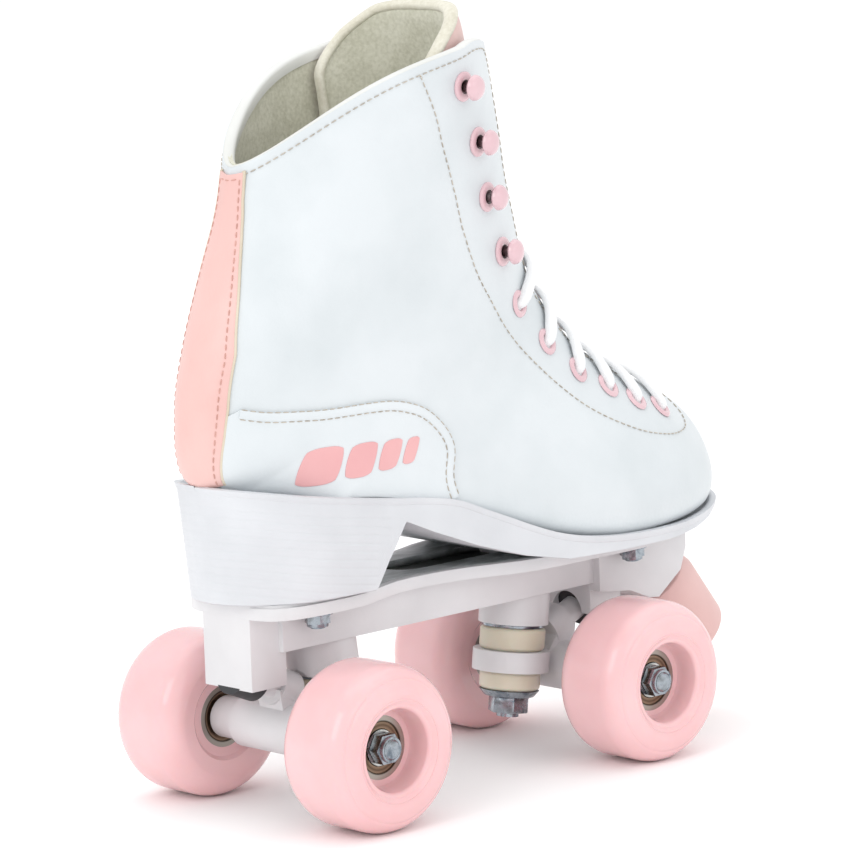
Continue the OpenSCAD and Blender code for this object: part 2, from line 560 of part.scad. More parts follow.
module axle_nuts() {
    color(zinc) both_ends() across(wheel_y + bearing_out + 0.2) difference() {
        union() {
            cylinder(d = 11.4, h = axle_nut_h - 1.4, $fn = 6);
            cylinder(d = 8.9, h = axle_nut_h);
        }
        translate([0, 0, -1]) cylinder(r = axle_d / 2 + fit, h = 10);
    }
}
race_in = 6.2;
race_out = 8.8;
ball_r = 2;
pitch_r = 7.5;
module bearing_spots(side) {
    for (y = [bearing_out - bearing_w, -bearing_in]) across(side * wheel_y + (side > 0 ? y : -y - bearing_w)) children();
}
module groove() { rotate_extrude() translate([pitch_r, bearing_w / 2]) circle(r = ball_r + 0.06); }
module inner_races() {
    color(zinc) for (side = [-1, 1]) bearing_spots(side) difference() {
        cylinder(r = race_in, h = bearing_w);
        translate([0, 0, -1]) cylinder(r = axle_d / 2 + fit, h = bearing_w + 2);
        groove();
    }
}
module spacers() {
    color(zinc) both_ends() {
        across(wheel_y - bearing_in + bearing_w) difference() {
            cylinder(d = 10, h = bearing_in + bearing_out - 2 * bearing_w);
            translate([0, 0, -1]) cylinder(r = axle_d / 2 + fit, h = 20);
        }
        across(wheel_y - bearing_in - 0.6) difference() {
            cylinder(d = 10.4, h = 0.6);
            translate([0, 0, -1]) cylinder(r = axle_d / 2 + fit, h = 3);
        }
    }
}
module outer_races(side) {
    color([0.45, 0.4, 0.33]) bearing_spots(side) {
        difference() {
            cylinder(d = bearing_d, h = bearing_w);
            translate([0, 0, -1]) cylinder(r = race_out, h = bearing_w + 2);
            groove();
        }
        for (z = [0.3, bearing_w - 0.7]) translate([0, 0, z]) difference() {
            cylinder(r = race_out + 0.4, h = 0.4);
            translate([0, 0, -1]) cylinder(r = race_in + gap, h = 3);
        }
    }
}
balls_n = 7;
module balls(side) {
    color(zinc) bearing_spots(side) for (i = [0:balls_n - 1])
        rotate([0, 0, i * 360 / balls_n]) translate([pitch_r, 0, bearing_w / 2]) sphere(r = ball_r);
}
module wheel(side) {
    hw = wheel_w / 2;
    r = wheel_d / 2;
    rim = hw - mouth_inset;
    er = wheel_edge_r;
    seat_r = bearing_d / 2 + fit;
    face_r = mouth_d / 2;
    edge = [for (a = [0:10:90]) [r - er + er * sin(a), hw - er + er * cos(a)]];
    back = [for (a = [90:-10:0]) [r - er + er * sin(a), -hw + er - er * cos(a)]];
    color(pink) translate([0, side * wheel_y, axle_z]) rotate([side > 0 ? -90 : 90, 0, 0]) rotate_extrude($fn = 128)
        polygon(concat(
            [[seat_r, bearing_out], [seat_r, bearing_out - bearing_w], [seat_r - 2.5, bearing_out - bearing_w],
             [seat_r - 2.5, bearing_w - bearing_in], [seat_r, bearing_w - bearing_in], [seat_r, -bearing_in],
             [face_r, -rim], [face_r + 3, -hw + 0.3]],
            [for (i = [len(back) - 1:-1:0]) back[i]], [for (i = [len(edge) - 1:-1:0]) edge[i]],
            [[face_r + 3, hw - 0.3], [face_r, rim], [face_r - 0.6, rim - 3]]));
}
module toe_stop() {
    r = stop_d / 2;
    color(pink) on_stop() translate([0, 0, -stop_l]) difference() {
        union() {
            cylinder(r1 = r - 2, r2 = r, h = 6);
            translate([0, 0, 6]) cylinder(r = r, h = stop_l - 9);
            translate([0, 0, stop_l - 3]) cylinder(r1 = r, r2 = r - 3, h = 3);
        }
        translate([0, 0, -1]) cylinder(r = stem_d / 2 + fit, h = stop_l - 8);
    }
}
module toe_stop_bolt() {
    color(zinc) on_stop() translate([0, 0, -stop_l - 18]) cylinder(d = stem_d, h = 18 + stop_l - 9.5);
}

// Every node is drawn with the origin under the middle of the skate.
back_end = -41.07;
front_end = wheelbase + stop_x + stop_d / 2 * sin(stop_slope);
module centred() { translate([-(back_end + front_end) / 2, 0, 0]) children(); }

centred() upper();
centred() lining();
centred() backstay();
centred() counter(1);  // counter_left
centred() counter(-1);  // counter_right
centred() eyelets(1);  // eyelets_left
centred() eyelets(-1);  // eyelets_right
centred() hooks(1);  // hooks_left
centred() hooks(-1);  // hooks_right
centred() tongue(tongue_u0, tongue_flex_u - 0.02, 10);  // tongue_lower
centred() tongue(tongue_flex_u + 0.02, tongue_u1, 12);  // tongue_upper
centred() lace();
centred() footbed();
centred() insole_board();
centred() outsole_heel();
centred() plate();
centred() mounting_bolts();
centred() mounting_nuts();
centred() front_place() color(zinc) kingpin();  // kingpin_front
centred() rear_place() color(zinc) kingpin();  // kingpin_rear
centred() front_place() cushion_upper();  // cushion_upper_front
centred() rear_place() cushion_upper();  // cushion_upper_rear
centred() front_place() cushion_lower();  // cushion_lower_front
centred() rear_place() cushion_lower();  // cushion_lower_rear
centred() front_place() cup_washers();  // cup_washers_front
centred() rear_place() cup_washers();  // cup_washers_rear
centred() front_place() kingpin_nut();  // kingpin_nut_front
centred() rear_place() kingpin_nut();  // kingpin_nut_rear
centred() front_place() pivot_cup();  // pivot_cup_front
centred() rear_place() pivot_cup();  // pivot_cup_rear
centred() front_place() hanger();  // hanger_front
centred() rear_place() hanger();  // hanger_rear
centred() front_place() axle();  // axle_front
centred() rear_place() axle();  // axle_rear
centred() front_place() axle_nuts();  // axle_nuts_front
centred() rear_place() axle_nuts();  // axle_nuts_rear
centred() front_place() inner_races();  // inner_races_front
centred() rear_place() inner_races();  // inner_races_rear
centred() front_place() spacers();  // spacers_front
centred() rear_place() spacers();  // spacers_rear
centred() front_place() wheel(1);  // wheel_front_left
centred() front_place() wheel(-1);  // wheel_front_right
centred() rear_place() wheel(1);  // wheel_rear_left
centred() rear_place() wheel(-1);  // wheel_rear_right
centred() front_place() outer_races(1);  // outer_races_front_left
centred() front_place() outer_races(-1);  // outer_races_front_right
centred() rear_place() outer_races(1);  // outer_races_rear_left
centred() rear_place() outer_races(-1);  // outer_races_rear_right
centred() front_place() balls(1);  // balls_front_left
centred() front_place() balls(-1);  // balls_front_right
centred() rear_place() balls(1);  // balls_rear_left
centred() rear_place() balls(-1);  // balls_rear_right
centred() toe_stop();
centred() toe_stop_bolt();
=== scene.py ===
import json
import math

import bpy
import numpy as np
from mathutils import Matrix, Vector
from mathutils.kdtree import KDTree

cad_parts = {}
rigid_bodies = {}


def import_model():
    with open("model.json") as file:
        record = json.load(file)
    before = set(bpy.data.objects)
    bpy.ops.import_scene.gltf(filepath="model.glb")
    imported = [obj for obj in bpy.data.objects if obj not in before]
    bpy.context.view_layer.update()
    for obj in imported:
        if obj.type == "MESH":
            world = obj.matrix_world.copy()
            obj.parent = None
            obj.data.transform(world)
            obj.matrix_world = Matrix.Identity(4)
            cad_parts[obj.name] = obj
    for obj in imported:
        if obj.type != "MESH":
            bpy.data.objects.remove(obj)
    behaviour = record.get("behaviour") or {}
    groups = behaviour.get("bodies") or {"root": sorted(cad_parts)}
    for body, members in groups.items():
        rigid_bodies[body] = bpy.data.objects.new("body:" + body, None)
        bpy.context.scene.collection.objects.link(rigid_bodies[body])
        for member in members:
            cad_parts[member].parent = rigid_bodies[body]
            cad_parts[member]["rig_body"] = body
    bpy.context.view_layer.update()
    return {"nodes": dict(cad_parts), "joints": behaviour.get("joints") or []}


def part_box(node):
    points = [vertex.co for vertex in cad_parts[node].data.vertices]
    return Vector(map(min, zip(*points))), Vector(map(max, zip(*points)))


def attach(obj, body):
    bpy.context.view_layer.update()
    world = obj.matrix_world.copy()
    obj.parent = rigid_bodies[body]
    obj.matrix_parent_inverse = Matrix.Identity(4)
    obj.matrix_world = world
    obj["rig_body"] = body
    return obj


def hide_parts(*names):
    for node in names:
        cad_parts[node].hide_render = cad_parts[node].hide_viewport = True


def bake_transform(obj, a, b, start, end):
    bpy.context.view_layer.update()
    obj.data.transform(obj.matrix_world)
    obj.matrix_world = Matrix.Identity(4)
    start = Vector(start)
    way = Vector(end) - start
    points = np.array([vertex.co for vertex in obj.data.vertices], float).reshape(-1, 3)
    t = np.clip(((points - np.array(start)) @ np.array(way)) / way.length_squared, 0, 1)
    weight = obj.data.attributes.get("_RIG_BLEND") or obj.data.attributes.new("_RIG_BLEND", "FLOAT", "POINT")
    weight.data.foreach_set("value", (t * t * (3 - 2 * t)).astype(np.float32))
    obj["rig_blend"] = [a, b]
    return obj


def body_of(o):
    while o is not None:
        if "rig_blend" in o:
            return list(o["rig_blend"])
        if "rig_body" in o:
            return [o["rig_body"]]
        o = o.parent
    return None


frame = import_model()
nodes = frame["nodes"]
scene = bpy.context.scene
mm = 0.001


def middle(node):
    low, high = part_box(node)
    return (low + high) / 2


rearAxle = middle("axle_rear")
frontAxle = middle("axle_front")
axleZ = rearAxle.z / mm


def toFrame(points):
    # drawing millimetres, measured forward from the rear axle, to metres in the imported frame
    return np.asarray(points, float) * mm + np.array([rearAxle.x, 0.0, 0.0])


def deselect():
    if bpy.context.object and bpy.context.object.mode != "OBJECT":
        bpy.ops.object.mode_set(mode="OBJECT")
    bpy.ops.object.select_all(action="DESELECT")


def pick(piece):
    deselect()
    piece.select_set(True)
    bpy.context.view_layer.objects.active = piece


def editAll(piece):
    pick(piece)
    bpy.ops.object.mode_set(mode="EDIT")
    bpy.ops.mesh.select_mode(type="VERT")
    bpy.ops.mesh.select_all(action="SELECT")


def leaveEdit():
    bpy.ops.object.mode_set(mode="OBJECT")


def addModifier(piece, kind, **settings):
    modifier = piece.modifiers.new(kind.title(), kind)
    for key, value in settings.items():
        setattr(modifier, key, value)
    pick(piece)
    bpy.ops.object.modifier_apply(modifier=modifier.name)


def placed(name, data):
    piece = bpy.data.objects.new(name, data)
    scene.collection.objects.link(piece)
    return piece


def thicken(piece, thickMm):
    addModifier(piece, "SOLIDIFY", thickness=thickMm * mm, offset=-1.0)


def roundEdges(piece, widthMm):
    addModifier(piece, "BEVEL", width=widthMm * mm, segments=2, limit_method="ANGLE",
                angle_limit=math.radians(60))


def smooth(piece, angle=35):
    pick(piece)
    bpy.ops.object.shade_smooth_by_angle(angle=math.radians(angle))


def gridPiece(name, rows, columns, shape, closeGap=0.01):
    # a flat grid whose points are then moved into place; "shape" gets across and along, both from -1 to 1
    deselect()
    bpy.ops.mesh.primitive_grid_add(x_subdivisions=columns, y_subdivisions=rows, size=2)
    piece = bpy.context.object
    piece.name = name
    mesh = piece.data
    flat = np.empty(len(mesh.vertices) * 3)
    mesh.vertices.foreach_get("co", flat)
    flat = flat.reshape(-1, 3)
    mesh.vertices.foreach_set("co", toFrame(shape(flat[:, 0], flat[:, 1])).ravel())
    editAll(piece)
    bpy.ops.mesh.remove_doubles(threshold=closeGap * mm)
    leaveEdit()
    return piece


def faceOut(piece):
    editAll(piece)
    bpy.ops.mesh.normals_make_consistent(inside=False)
    leaveEdit()


def capEnds(piece):
    editAll(piece)
    bpy.ops.mesh.select_all(action="DESELECT")
    bpy.ops.mesh.select_non_manifold()
    bpy.ops.mesh.fill_holes(sides=0)
    leaveEdit()
    faceOut(piece)


def dress(piece, body, slot, *finishes, replaces=()):
    piece.data.materials.clear()
    for finish in finishes:
        piece.data.materials.append(finish)
    if body:
        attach(piece, body)
    if replaces:
        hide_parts(*replaces)
    return piece


def faceCentres(mesh):
    centres = np.empty(len(mesh.polygons) * 3)
    mesh.polygons.foreach_get("center", centres)
    return centres.reshape(-1, 3)


def points(mesh):
    spots = np.empty(len(mesh.vertices) * 3)
    mesh.vertices.foreach_get("co", spots)
    return spots.reshape(-1, 3)


def unit(v):
    v = np.asarray(v, float)
    return v / np.maximum(np.linalg.norm(v, axis=-1, keepdims=True), 1e-9)


def linear(code):
    parts = [int(code[i:i + 2], 16) / 255 for i in (1, 3, 5)]
    return tuple(c / 12.92 if c <= 0.04045 else ((c + 0.055) / 1.055) ** 2.4 for c in parts) + (1.0,)


def addNode(tree, kind, links=None, **settings):
    node = tree.nodes.new(kind)
    for key, value in settings.items():
        setattr(node, key, value)
    for socket, value in (links or {}).items():
        if isinstance(value, bpy.types.NodeSocket):
            tree.links.new(value, node.inputs[socket])
        else:
            node.inputs[socket].default_value = value
    return node


def newFinish(name, **sockets):
    finish = bpy.data.materials.new(name)
    finish.use_nodes = True
    tree = finish.node_tree
    shader = tree.nodes["Principled BSDF"]
    for socket, value in sockets.items():
        shader.inputs[socket.replace("_", " ")].default_value = value
    return finish, tree, shader


def perMm(size):
    # pattern repeats per metre for a repeat of that many millimetres
    return 1000.0 / size


def rampOf(tree, factor, *stops):
    ramp = addNode(tree, "ShaderNodeValToRGB", {"Fac": factor})
    elements = ramp.color_ramp.elements
    elements[0].position, elements[0].color = stops[0][0], stops[0][1]
    elements[1].position, elements[1].color = stops[-1][0], stops[-1][1]
    for place, colour in stops[1:-1]:
        elements.new(place).color = colour
    return ramp.outputs["Color"]


def noise(tree, place, repeatMm, detail, distortion=0.0):
    return addNode(tree, "ShaderNodeTexNoise", {"Vector": place, "Scale": perMm(repeatMm), "Detail": detail,
                                                "Distortion": distortion}).outputs["Fac"]


def combine(tree, operation, *values):
    return addNode(tree, "ShaderNodeMath", dict(enumerate(values)), operation=operation).outputs[0]


def varyShine(tree, shader, factor, low, high):
    shine = addNode(tree, "ShaderNodeMapRange", {"Value": factor, "To Min": low, "To Max": high})
    tree.links.new(shine.outputs["Result"], shader.inputs["Roughness"])


def relief(tree, shader, height, depthMm, strength, **links):
    bump = addNode(tree, "ShaderNodeBump",
                   {"Height": height, "Distance": depthMm * mm, "Strength": strength, **links})
    tree.links.new(bump.outputs["Normal"], shader.inputs["Normal"])


def leather(name, light, deep, roughness, poreMm, poreDepth, creaseDepth):
    # coated leather: an even colour that drifts a little, with fine pores and faint long waves in the shine
    finish, tree, shader = newFinish(name, Roughness=roughness, Specular_IOR_Level=0.45)
    place = addNode(tree, "ShaderNodeTexCoord").outputs["Object"]
    colour = rampOf(tree, noise(tree, place, 38, 3.0), (0.3, linear(deep)), (0.62, linear(light)))
    tree.links.new(colour, shader.inputs["Base Color"])
    pores = addNode(tree, "ShaderNodeTexVoronoi", {"Vector": place, "Scale": perMm(poreMm)},
                    feature="SMOOTH_F1")
    waves = noise(tree, place, 9, 4.0)
    varyShine(tree, shader, waves, roughness - 0.07, roughness + 0.09)
    creases = addNode(tree, "ShaderNodeBump",
                      {"Height": waves, "Distance": creaseDepth * mm, "Strength": 0.5})
    relief(tree, shader, pores.outputs["Distance"], poreDepth, 0.6, Normal=creases.outputs["Normal"])
    return finish


def cloth(name, light, deep, threadMm, depthMm, roughness=0.95, sheen=0.25):
    # woven lining cloth: two crossed thread directions, flecked, dry, with a soft bloom at grazing angles
    finish, tree, shader = newFinish(name, Roughness=roughness, Sheen_Weight=sheen, Specular_IOR_Level=0.2)
    place = addNode(tree, "ShaderNodeTexCoord").outputs["Object"]
    wobble, fleck = noise(tree, place, 14, 5.0), noise(tree, place, 1.3, 3.0)
    threads = [addNode(tree, "ShaderNodeTexWave",
                       {"Vector": place, "Scale": perMm(threadMm) / 20, "Distortion": 1.2},
                       bands_direction=way).outputs["Fac"] for way in ("Z", "DIAGONAL")]
    both = addNode(tree, "ShaderNodeMix", {0: 0.55, 2: wobble, 3: fleck})
    colour = rampOf(tree, both.outputs[0], (0.36, linear(deep)), (0.6, linear(light)))
    tree.links.new(colour, shader.inputs["Base Color"])
    height = combine(tree, "ADD", combine(tree, "ADD", *threads), fleck)
    relief(tree, shader, height, depthMm, 0.7)
    return finish


def moulded(name, light, deep, roughness, grainMm, depthMm, **sockets):
    # injection-moulded or cast plastic: near-even colour with a slight drift and a fine tool texture
    finish, tree, shader = newFinish(name, Roughness=roughness, **sockets)
    place = addNode(tree, "ShaderNodeTexCoord").outputs["Object"]
    drift = noise(tree, place, 30, 4.0)
    colour = rampOf(tree, drift, (0.3, linear(deep)), (0.65, linear(light)))
    tree.links.new(colour, shader.inputs["Base Color"])
    varyShine(tree, shader, drift, roughness - 0.05, roughness + 0.07)
    relief(tree, shader, noise(tree, place, grainMm, 3.0), depthMm, 0.5)
    return finish


def plated(name, light, deep, roughness, scratchMm=1.5, worn="#8A8D8C"):
    # zinc-plated or ground steel: bright metal with cloudy plating and rubbed spots
    finish, tree, shader = newFinish(name, Metallic=1.0, Roughness=roughness)
    place = addNode(tree, "ShaderNodeTexCoord").outputs["Object"]
    cloud = noise(tree, place, 5, 6.0, 0.6)
    colour = rampOf(tree, cloud, (0.32, linear(deep)), (0.52, linear(light)), (0.75, linear(worn)))
    tree.links.new(colour, shader.inputs["Base Color"])
    varyShine(tree, shader, noise(tree, place, scratchMm, 4.0), roughness - 0.1, roughness + 0.16)
    relief(tree, shader, cloud, 0.12, 0.4)
    return finish


def wovenLace(name, light, deep, threadMm, widthMm, lengthMm):
    # flat woven cotton: a herringbone of thick threads that runs along the lace, dull and a little fuzzy,
    # with painted shade darkening the valleys between the threads
    finish, tree, shader = newFinish(name, Roughness=0.9, Sheen_Weight=0.3, Specular_IOR_Level=0.2)
    own = addNode(tree, "ShaderNodeUVMap").outputs["UV"]
    apart = addNode(tree, "ShaderNodeSeparateXYZ", {"Vector": own})
    mirrored = combine(tree, "PINGPONG", apart.outputs["X"], 0.25)
    slanted = combine(tree, "MULTIPLY", mirrored, 4.0 * widthMm / threadMm)
    along = combine(tree, "MULTIPLY", apart.outputs["Y"], lengthMm / threadMm)
    turn = combine(tree, "MULTIPLY", combine(tree, "ADD", slanted, along), 2 * math.pi)
    rib = combine(tree, "SINE", turn)
    height = addNode(tree, "ShaderNodeMapRange", {"Value": rib, "From Min": -1.0, "From Max": 1.0})
    # painted shade: the colour follows the weave's height, so the valleys between the threads are painted
    # darker
    colour = rampOf(tree, height.outputs["Result"], (0.05, linear(deep)), (0.6, linear(light)))
    tree.links.new(colour, shader.inputs["Base Color"])
    relief(tree, shader, height.outputs["Result"], 0.07, 0.6)
    return finish


def bearingSteel(name, axleX):
    # a shielded bearing: ground steel ring outside, a bronze pressed shield with a rolled groove inside, its
    # two edges and its groove darkened with painted shade
    finish, tree, shader = newFinish(name, Metallic=1.0, Roughness=0.32)
    place = addNode(tree, "ShaderNodeTexCoord").outputs["Object"]
    centred = addNode(tree, "ShaderNodeMapping", {"Vector": place, "Location": (-axleX, 0.0, -axleZ * mm),
                                                  "Scale": (1.0, 0.0, 1.0)})
    radius = addNode(tree, "ShaderNodeVectorMath", {0: centred.outputs["Vector"]}, operation="LENGTH")
    share = addNode(tree, "ShaderNodeMapRange",
                    {"Value": radius.outputs["Value"], "From Min": 6.0 * mm, "From Max": 11.0 * mm})
    # painted shade: the near-black bands at the shield's inner and outer edges stand for shade in the gaps
    # beside the rings, and the darker #5D4D40 band stands for shade in the rolled groove
    gapShade, bronze, steel = linear("#2E2720"), linear("#8C7663"), linear("#A39E96")
    colour = rampOf(tree, share.outputs["Result"], (0.04, gapShade), (0.14, bronze), (0.34, linear("#5D4D40")),
                    (0.5, bronze), (0.6, gapShade), (0.7, steel))
    tree.links.new(colour, shader.inputs["Base Color"])
    return finish


whiteLeather = leather("whiteCoatedLeather", "#D8DDE0", "#CED4D7", 0.36, 1.1, 0.05, 0.35)
patchLeather = leather("whitePatchLeather", "#DADFE2", "#D1D7DA", 0.33, 1.1, 0.04, 0.25)
pinkLeather = leather("pinkCoatedLeather", "#E6BFB9", "#DFB4AE", 0.38, 1.0, 0.06, 0.3)
tongueLeather = leather("pinkTongueLeather", "#DFC0BB", "#D4B2AD", 0.42, 1.0, 0.06, 0.35)
rawEdge = leather("rawLeatherEdge", "#DCD2C0", "#CABDA8", 0.75, 0.7, 0.1, 0.2)      # undyed cut edge
bandLeather = leather("whiteLeatherBand", "#DFE0DE", "#D5D6D2", 0.55, 0.9, 0.06, 0.2)
liningCloth = cloth("liningCloth", "#DAD9CA", "#C2C1AF", 1.4, 0.16)
bindingCloth = cloth("bindingTape", "#DDDACC", "#CDC9B8", 1.2, 0.12)
footbedCloth = cloth("footbedCloth", "#D9D3C3", "#BDB6A2", 1.6, 0.2)
greyThread = cloth("taupeThread", "#C6BDB0", "#A3998B", 0.8, 0.08)
pinkThread = cloth("rosewoodThread", "#D6A79C", "#BF9085", 0.8, 0.08)
# the second colour is the painted shade in the valleys between the lace's threads
laceCotton = wovenLace("laceCotton", "#F4F5F6", "#E6E8EA", 1.15, 16.4, 60.0)
pinkPrint = moulded("pinkPrintedFoil", "#E6B0B0", "#DFA4A6", 0.3, 1.0, 0.03)
pinkEnamel = moulded("pinkEnamel", "#DFBDC3", "#D7B2B9", 0.16, 3.0, 0.05,
                     Coat_Weight=0.6, Coat_Roughness=0.06)
wheelUrethane = moulded("pinkCastUrethane", "#F0C5C7", "#EABBBD", 0.13, 2.5, 0.05,
                        Subsurface_Weight=0.12, Subsurface_Scale=0.006)
stopRubber = moulded("pinkStopRubber", "#E3BEBA", "#DBB3AF", 0.46, 0.9, 0.1)
soleRubber = moulded("whiteSoleUnit", "#D6D8DC", "#CCCED2", 0.42, 1.2, 0.08)
plateNylon = moulded("whiteNylon", "#DCDBDD", "#D2D1D3", 0.34, 1.4, 0.06)
cushionUrethane = moulded("creamUrethane", "#DCD5C3", "#CEC6B1", 0.34, 1.5, 0.05,
                          Subsurface_Weight=0.2, Subsurface_Scale=0.004)
pivotRubber = moulded("blackPivotRubber", "#3B3B3E", "#2B2B2E", 0.6, 0.8, 0.08)
# painted shadow: the hooks' stems between base and head are made dark to stand for the shadow in that gap
hookStemShade = plated("rivetStemPaintedShade", "#5B4A4C", "#33292B", 0.4)
insoleBoard = moulded("insoleFibreboard", "#A88F70", "#8B7355", 0.8, 0.7, 0.15)
zincPlate = plated("zincPlatedSteel", "#A2A9B0", "#66707A", 0.22, worn="#5E6060")
groundSteel = plated("groundBearingSteel", "#C9C9C6", "#A5A5A2", 0.2)
print("finishes made")


def mottledGrey():
    # weathered grey film on the plate's top: streaks and clouds, with painted shade darkening it down in the
    # oblong recess
    finish, tree, shader = newFinish("mottledGreyFilm", Roughness=0.3, Metallic=0.35)
    place = addNode(tree, "ShaderNodeTexCoord").outputs["Object"]
    stretch = addNode(tree, "ShaderNodeMapping", {"Vector": place, "Scale": (0.45, 1.0, 1.0)})
    cloud = noise(tree, stretch.outputs["Vector"], 9, 7.0, 1.4)
    colour = rampOf(tree, cloud, (0.34, linear("#8A908E")), (0.5, linear("#B4B9B9")),
                    (0.66, linear("#D2D6D6")))
    apart = addNode(tree, "ShaderNodeSeparateXYZ", {"Vector": place})
    # painted shade: the film is darkened towards near-black #2B2F27 down in the oblong recess under the
    # sole, where shade falls
    deep = addNode(tree, "ShaderNodeMapRange", {"Value": apart.outputs["Z"], "From Min": 74.4 * mm,
                                                "From Max": 76.2 * mm})
    shaded = addNode(tree, "ShaderNodeMix", {0: deep.outputs["Result"], 6: linear("#2B2F27"), 7: colour},
                     data_type="RGBA")
    tree.links.new(shaded.outputs[2], shader.inputs["Base Color"])
    relief(tree, shader, cloud, 0.3, 0.6)
    return finish


# Slanted sections from the toe to the collar: low or back end x, z, high or front end x, z,
# half width, bluntness of the two ends, sideways shift, in millimetres.
stations = np.array([
    [209, 94, 209, 96, 0, .30, .50, 5], [206, 87, 206, 107, 15, .20, .50, 5],
    [197, 83, 197, 118, 26, .16, .48, 4], [180, 81, 181, 127, 36, .14, .46, 3],
    [157, 80, 164, 134, 41.5, .13, .46, 1], [130, 80, 150, 141, 42, .13, .46, 0],
    [98, 86, 137, 150, 38.5, .14, .44, 0], [64, 98, 127, 161, 34.5, .16, .40, 0],
    [28, 108, 117, 174, 31.5, .20, .36, 0], [-6, 113, 111, 188, 31, .30, .33, 0],
    [-33.8, 119, 106, 202, 31, .46, .31, 0], [-38, 141, 102, 216, 31, .50, .30, 0],
    [-32, 164, 99, 230, 32, .50, .30, 0], [-24, 187, 95, 244, 33, .53, .30, 0],
    [-17, 207, 91, 257, 34, .57, .30, 0], [-13.5, 225, 87, 270, 35, .62, .30, 0],
    [-10, 243, 83, 283, 35, .62, .30, 0]], float)
throat = 3.4
collarTop = 14.95


def through(table, where):
    # smooth curve through the rows of a table
    table = np.asarray(table, float)
    wide = np.vstack([2 * table[0] - table[1], table, 2 * table[-1] - table[-2]])
    where = np.asarray(where, float)
    i = np.clip(np.floor(where).astype(int), 0, len(table) - 2)
    t = (where - i)[..., None]
    a, b, c, d = wide[i], wide[i + 1], wide[i + 2], wide[i + 3]
    return 0.5 * (2 * b + (c - a) * t + (2 * a - 5 * b + 4 * c - d) * t * t
                  + (3 * b - a - 3 * c + d) * t ** 3)


def peakOf(k):
    m = k[..., 5] / (k[..., 5] + k[..., 6])
    return m ** k[..., 5] * (1 - m) ** k[..., 6]


def bootPoint(u, s, side, depth=0.0):
    u, s, side, depth = np.broadcast_arrays(*[np.asarray(v, float) for v in (u, s, side, depth)])
    k = through(stations, u)
    reach = np.hypot(k[..., 2] - k[..., 0], k[..., 3] - k[..., 1])
    dx, dz = (k[..., 2] - k[..., 0]) / reach, (k[..., 3] - k[..., 1]) / reach
    cut = depth * np.minimum(1, reach / 30)
    inward = depth * np.minimum(1, k[..., 4] / 16)
    lowX, lowZ = k[..., 0] + dx * cut, k[..., 1] + dz * cut
    highX, highZ = k[..., 2] - dx * cut, k[..., 3] - dz * cut
    q = np.clip(s, 0, 1)
    girth = q ** k[..., 5] * (1 - q) ** k[..., 6] / peakOf(k)
    # the leather is lasted out squarely where it meets the sole
    fill = (0.55 + 0.35 * np.clip(u - 6.3, 0, 1)) * np.clip(1 - q / 0.3, 0, 1) * np.clip(9.6 - u, 0, 1)
    girth = girth ** (1 - fill)
    x = lowX + (highX - lowX) * s - depth * np.maximum(0, 1 - u / 2)
    return np.stack([x, k[..., 7] + side * (k[..., 4] - inward) * girth, lowZ + (highZ - lowZ) * s], -1)


def bootNormal(u, s, side):
    side = np.broadcast_to(np.asarray(side, float), np.shape(u))
    lowS = np.clip(np.asarray(s) - 0.004, 0.0005, 0.999)
    highS = np.clip(np.asarray(s) + 0.004, 0.0015, 0.9995)
    a = bootPoint(np.asarray(u) + 0.03, s, side) - bootPoint(np.asarray(u) - 0.03, s, side)
    b = bootPoint(u, highS, side) - bootPoint(u, lowS, side)
    return unit(side[..., None] * np.cross(a, b))


def slitHalf(u):
    u = np.asarray(u, float)
    wide = 12 + np.clip(u - 4, 0, 1) + 6 * np.clip((u - 8.3) / 4.2, 0, 1)
    return wide * np.sqrt(np.clip((u - throat) / 0.7, 0, 1))


def frontShare(u, y):
    k = through(stations, u)
    return 1 - (np.abs(y) * peakOf(k) / np.maximum(k[..., 4], 1)) ** (1 / k[..., 6])


def backShare(u, y):
    k = through(stations, u)
    return (np.abs(y) * peakOf(k) / k[..., 4]) ** (1 / k[..., 5])


def collarEnd(s):
    s = np.asarray(s, float)
    return (collarTop + 0.45 * np.sin(np.pi * np.clip(s / 0.78, 0, 1))
            - 1.0 * np.clip((s - 0.78) / 0.22, 0, 1) ** 2)


def wall(around, along, depth):
    # the boot's wall: "around" from one slit edge under the foot to the other, "along" from toe to collar
    u = collarTop * ((along + 1) / 2) ** 1.25
    around = -around
    k = through(stations, u)
    top = np.where(u <= throat, 1, frontShare(u, slitHalf(u)))
    s = top * np.sin(np.pi / 2 * np.abs(around)) ** (1 / k[..., 5])
    return bootPoint(u * collarEnd(s) / collarTop, s, np.where(around < 0, -1.0, 1.0), depth)


def onSide(x, z):
    # where a point of the side view lies on the boot: u and s
    x, z = np.asarray(x, float), np.asarray(z, float)
    low, high = np.full(x.shape, 5.0), np.full(x.shape, 12.0)
    for _ in range(40):
        u = (low + high) / 2
        k = through(stations, u)
        turn = (x - k[..., 0]) * (k[..., 3] - k[..., 1]) - (z - k[..., 1]) * (k[..., 2] - k[..., 0])
        low, high = np.where(turn < 0, u, low), np.where(turn < 0, high, u)
    k = through(stations, u)
    reach = (k[..., 2] - k[..., 0]) ** 2 + (k[..., 3] - k[..., 1]) ** 2
    s = ((x - k[..., 0]) * (k[..., 2] - k[..., 0]) + (z - k[..., 1]) * (k[..., 3] - k[..., 1])) / reach
    return u, s


def resample(line, step):
    line = np.asarray(line, float)
    length = np.concatenate([[0], np.cumsum(np.linalg.norm(np.diff(line, axis=0), axis=1))])
    count = max(int(round(length[-1] / step)), 2)
    at = np.linspace(0, length[-1], count + 1)
    return np.stack([np.interp(at, length, line[:, i]) for i in range(line.shape[1])], -1)


def rounded(line, times=3):
    line = np.asarray(line, float)
    for _ in range(times):
        cut = np.empty((2 * len(line) - 2, line.shape[1]))
        cut[0::2] = 0.75 * line[:-1] + 0.25 * line[1:]
        cut[1::2] = 0.25 * line[:-1] + 0.75 * line[1:]
        line = np.vstack([line[:1], cut, line[-1:]])
    return line


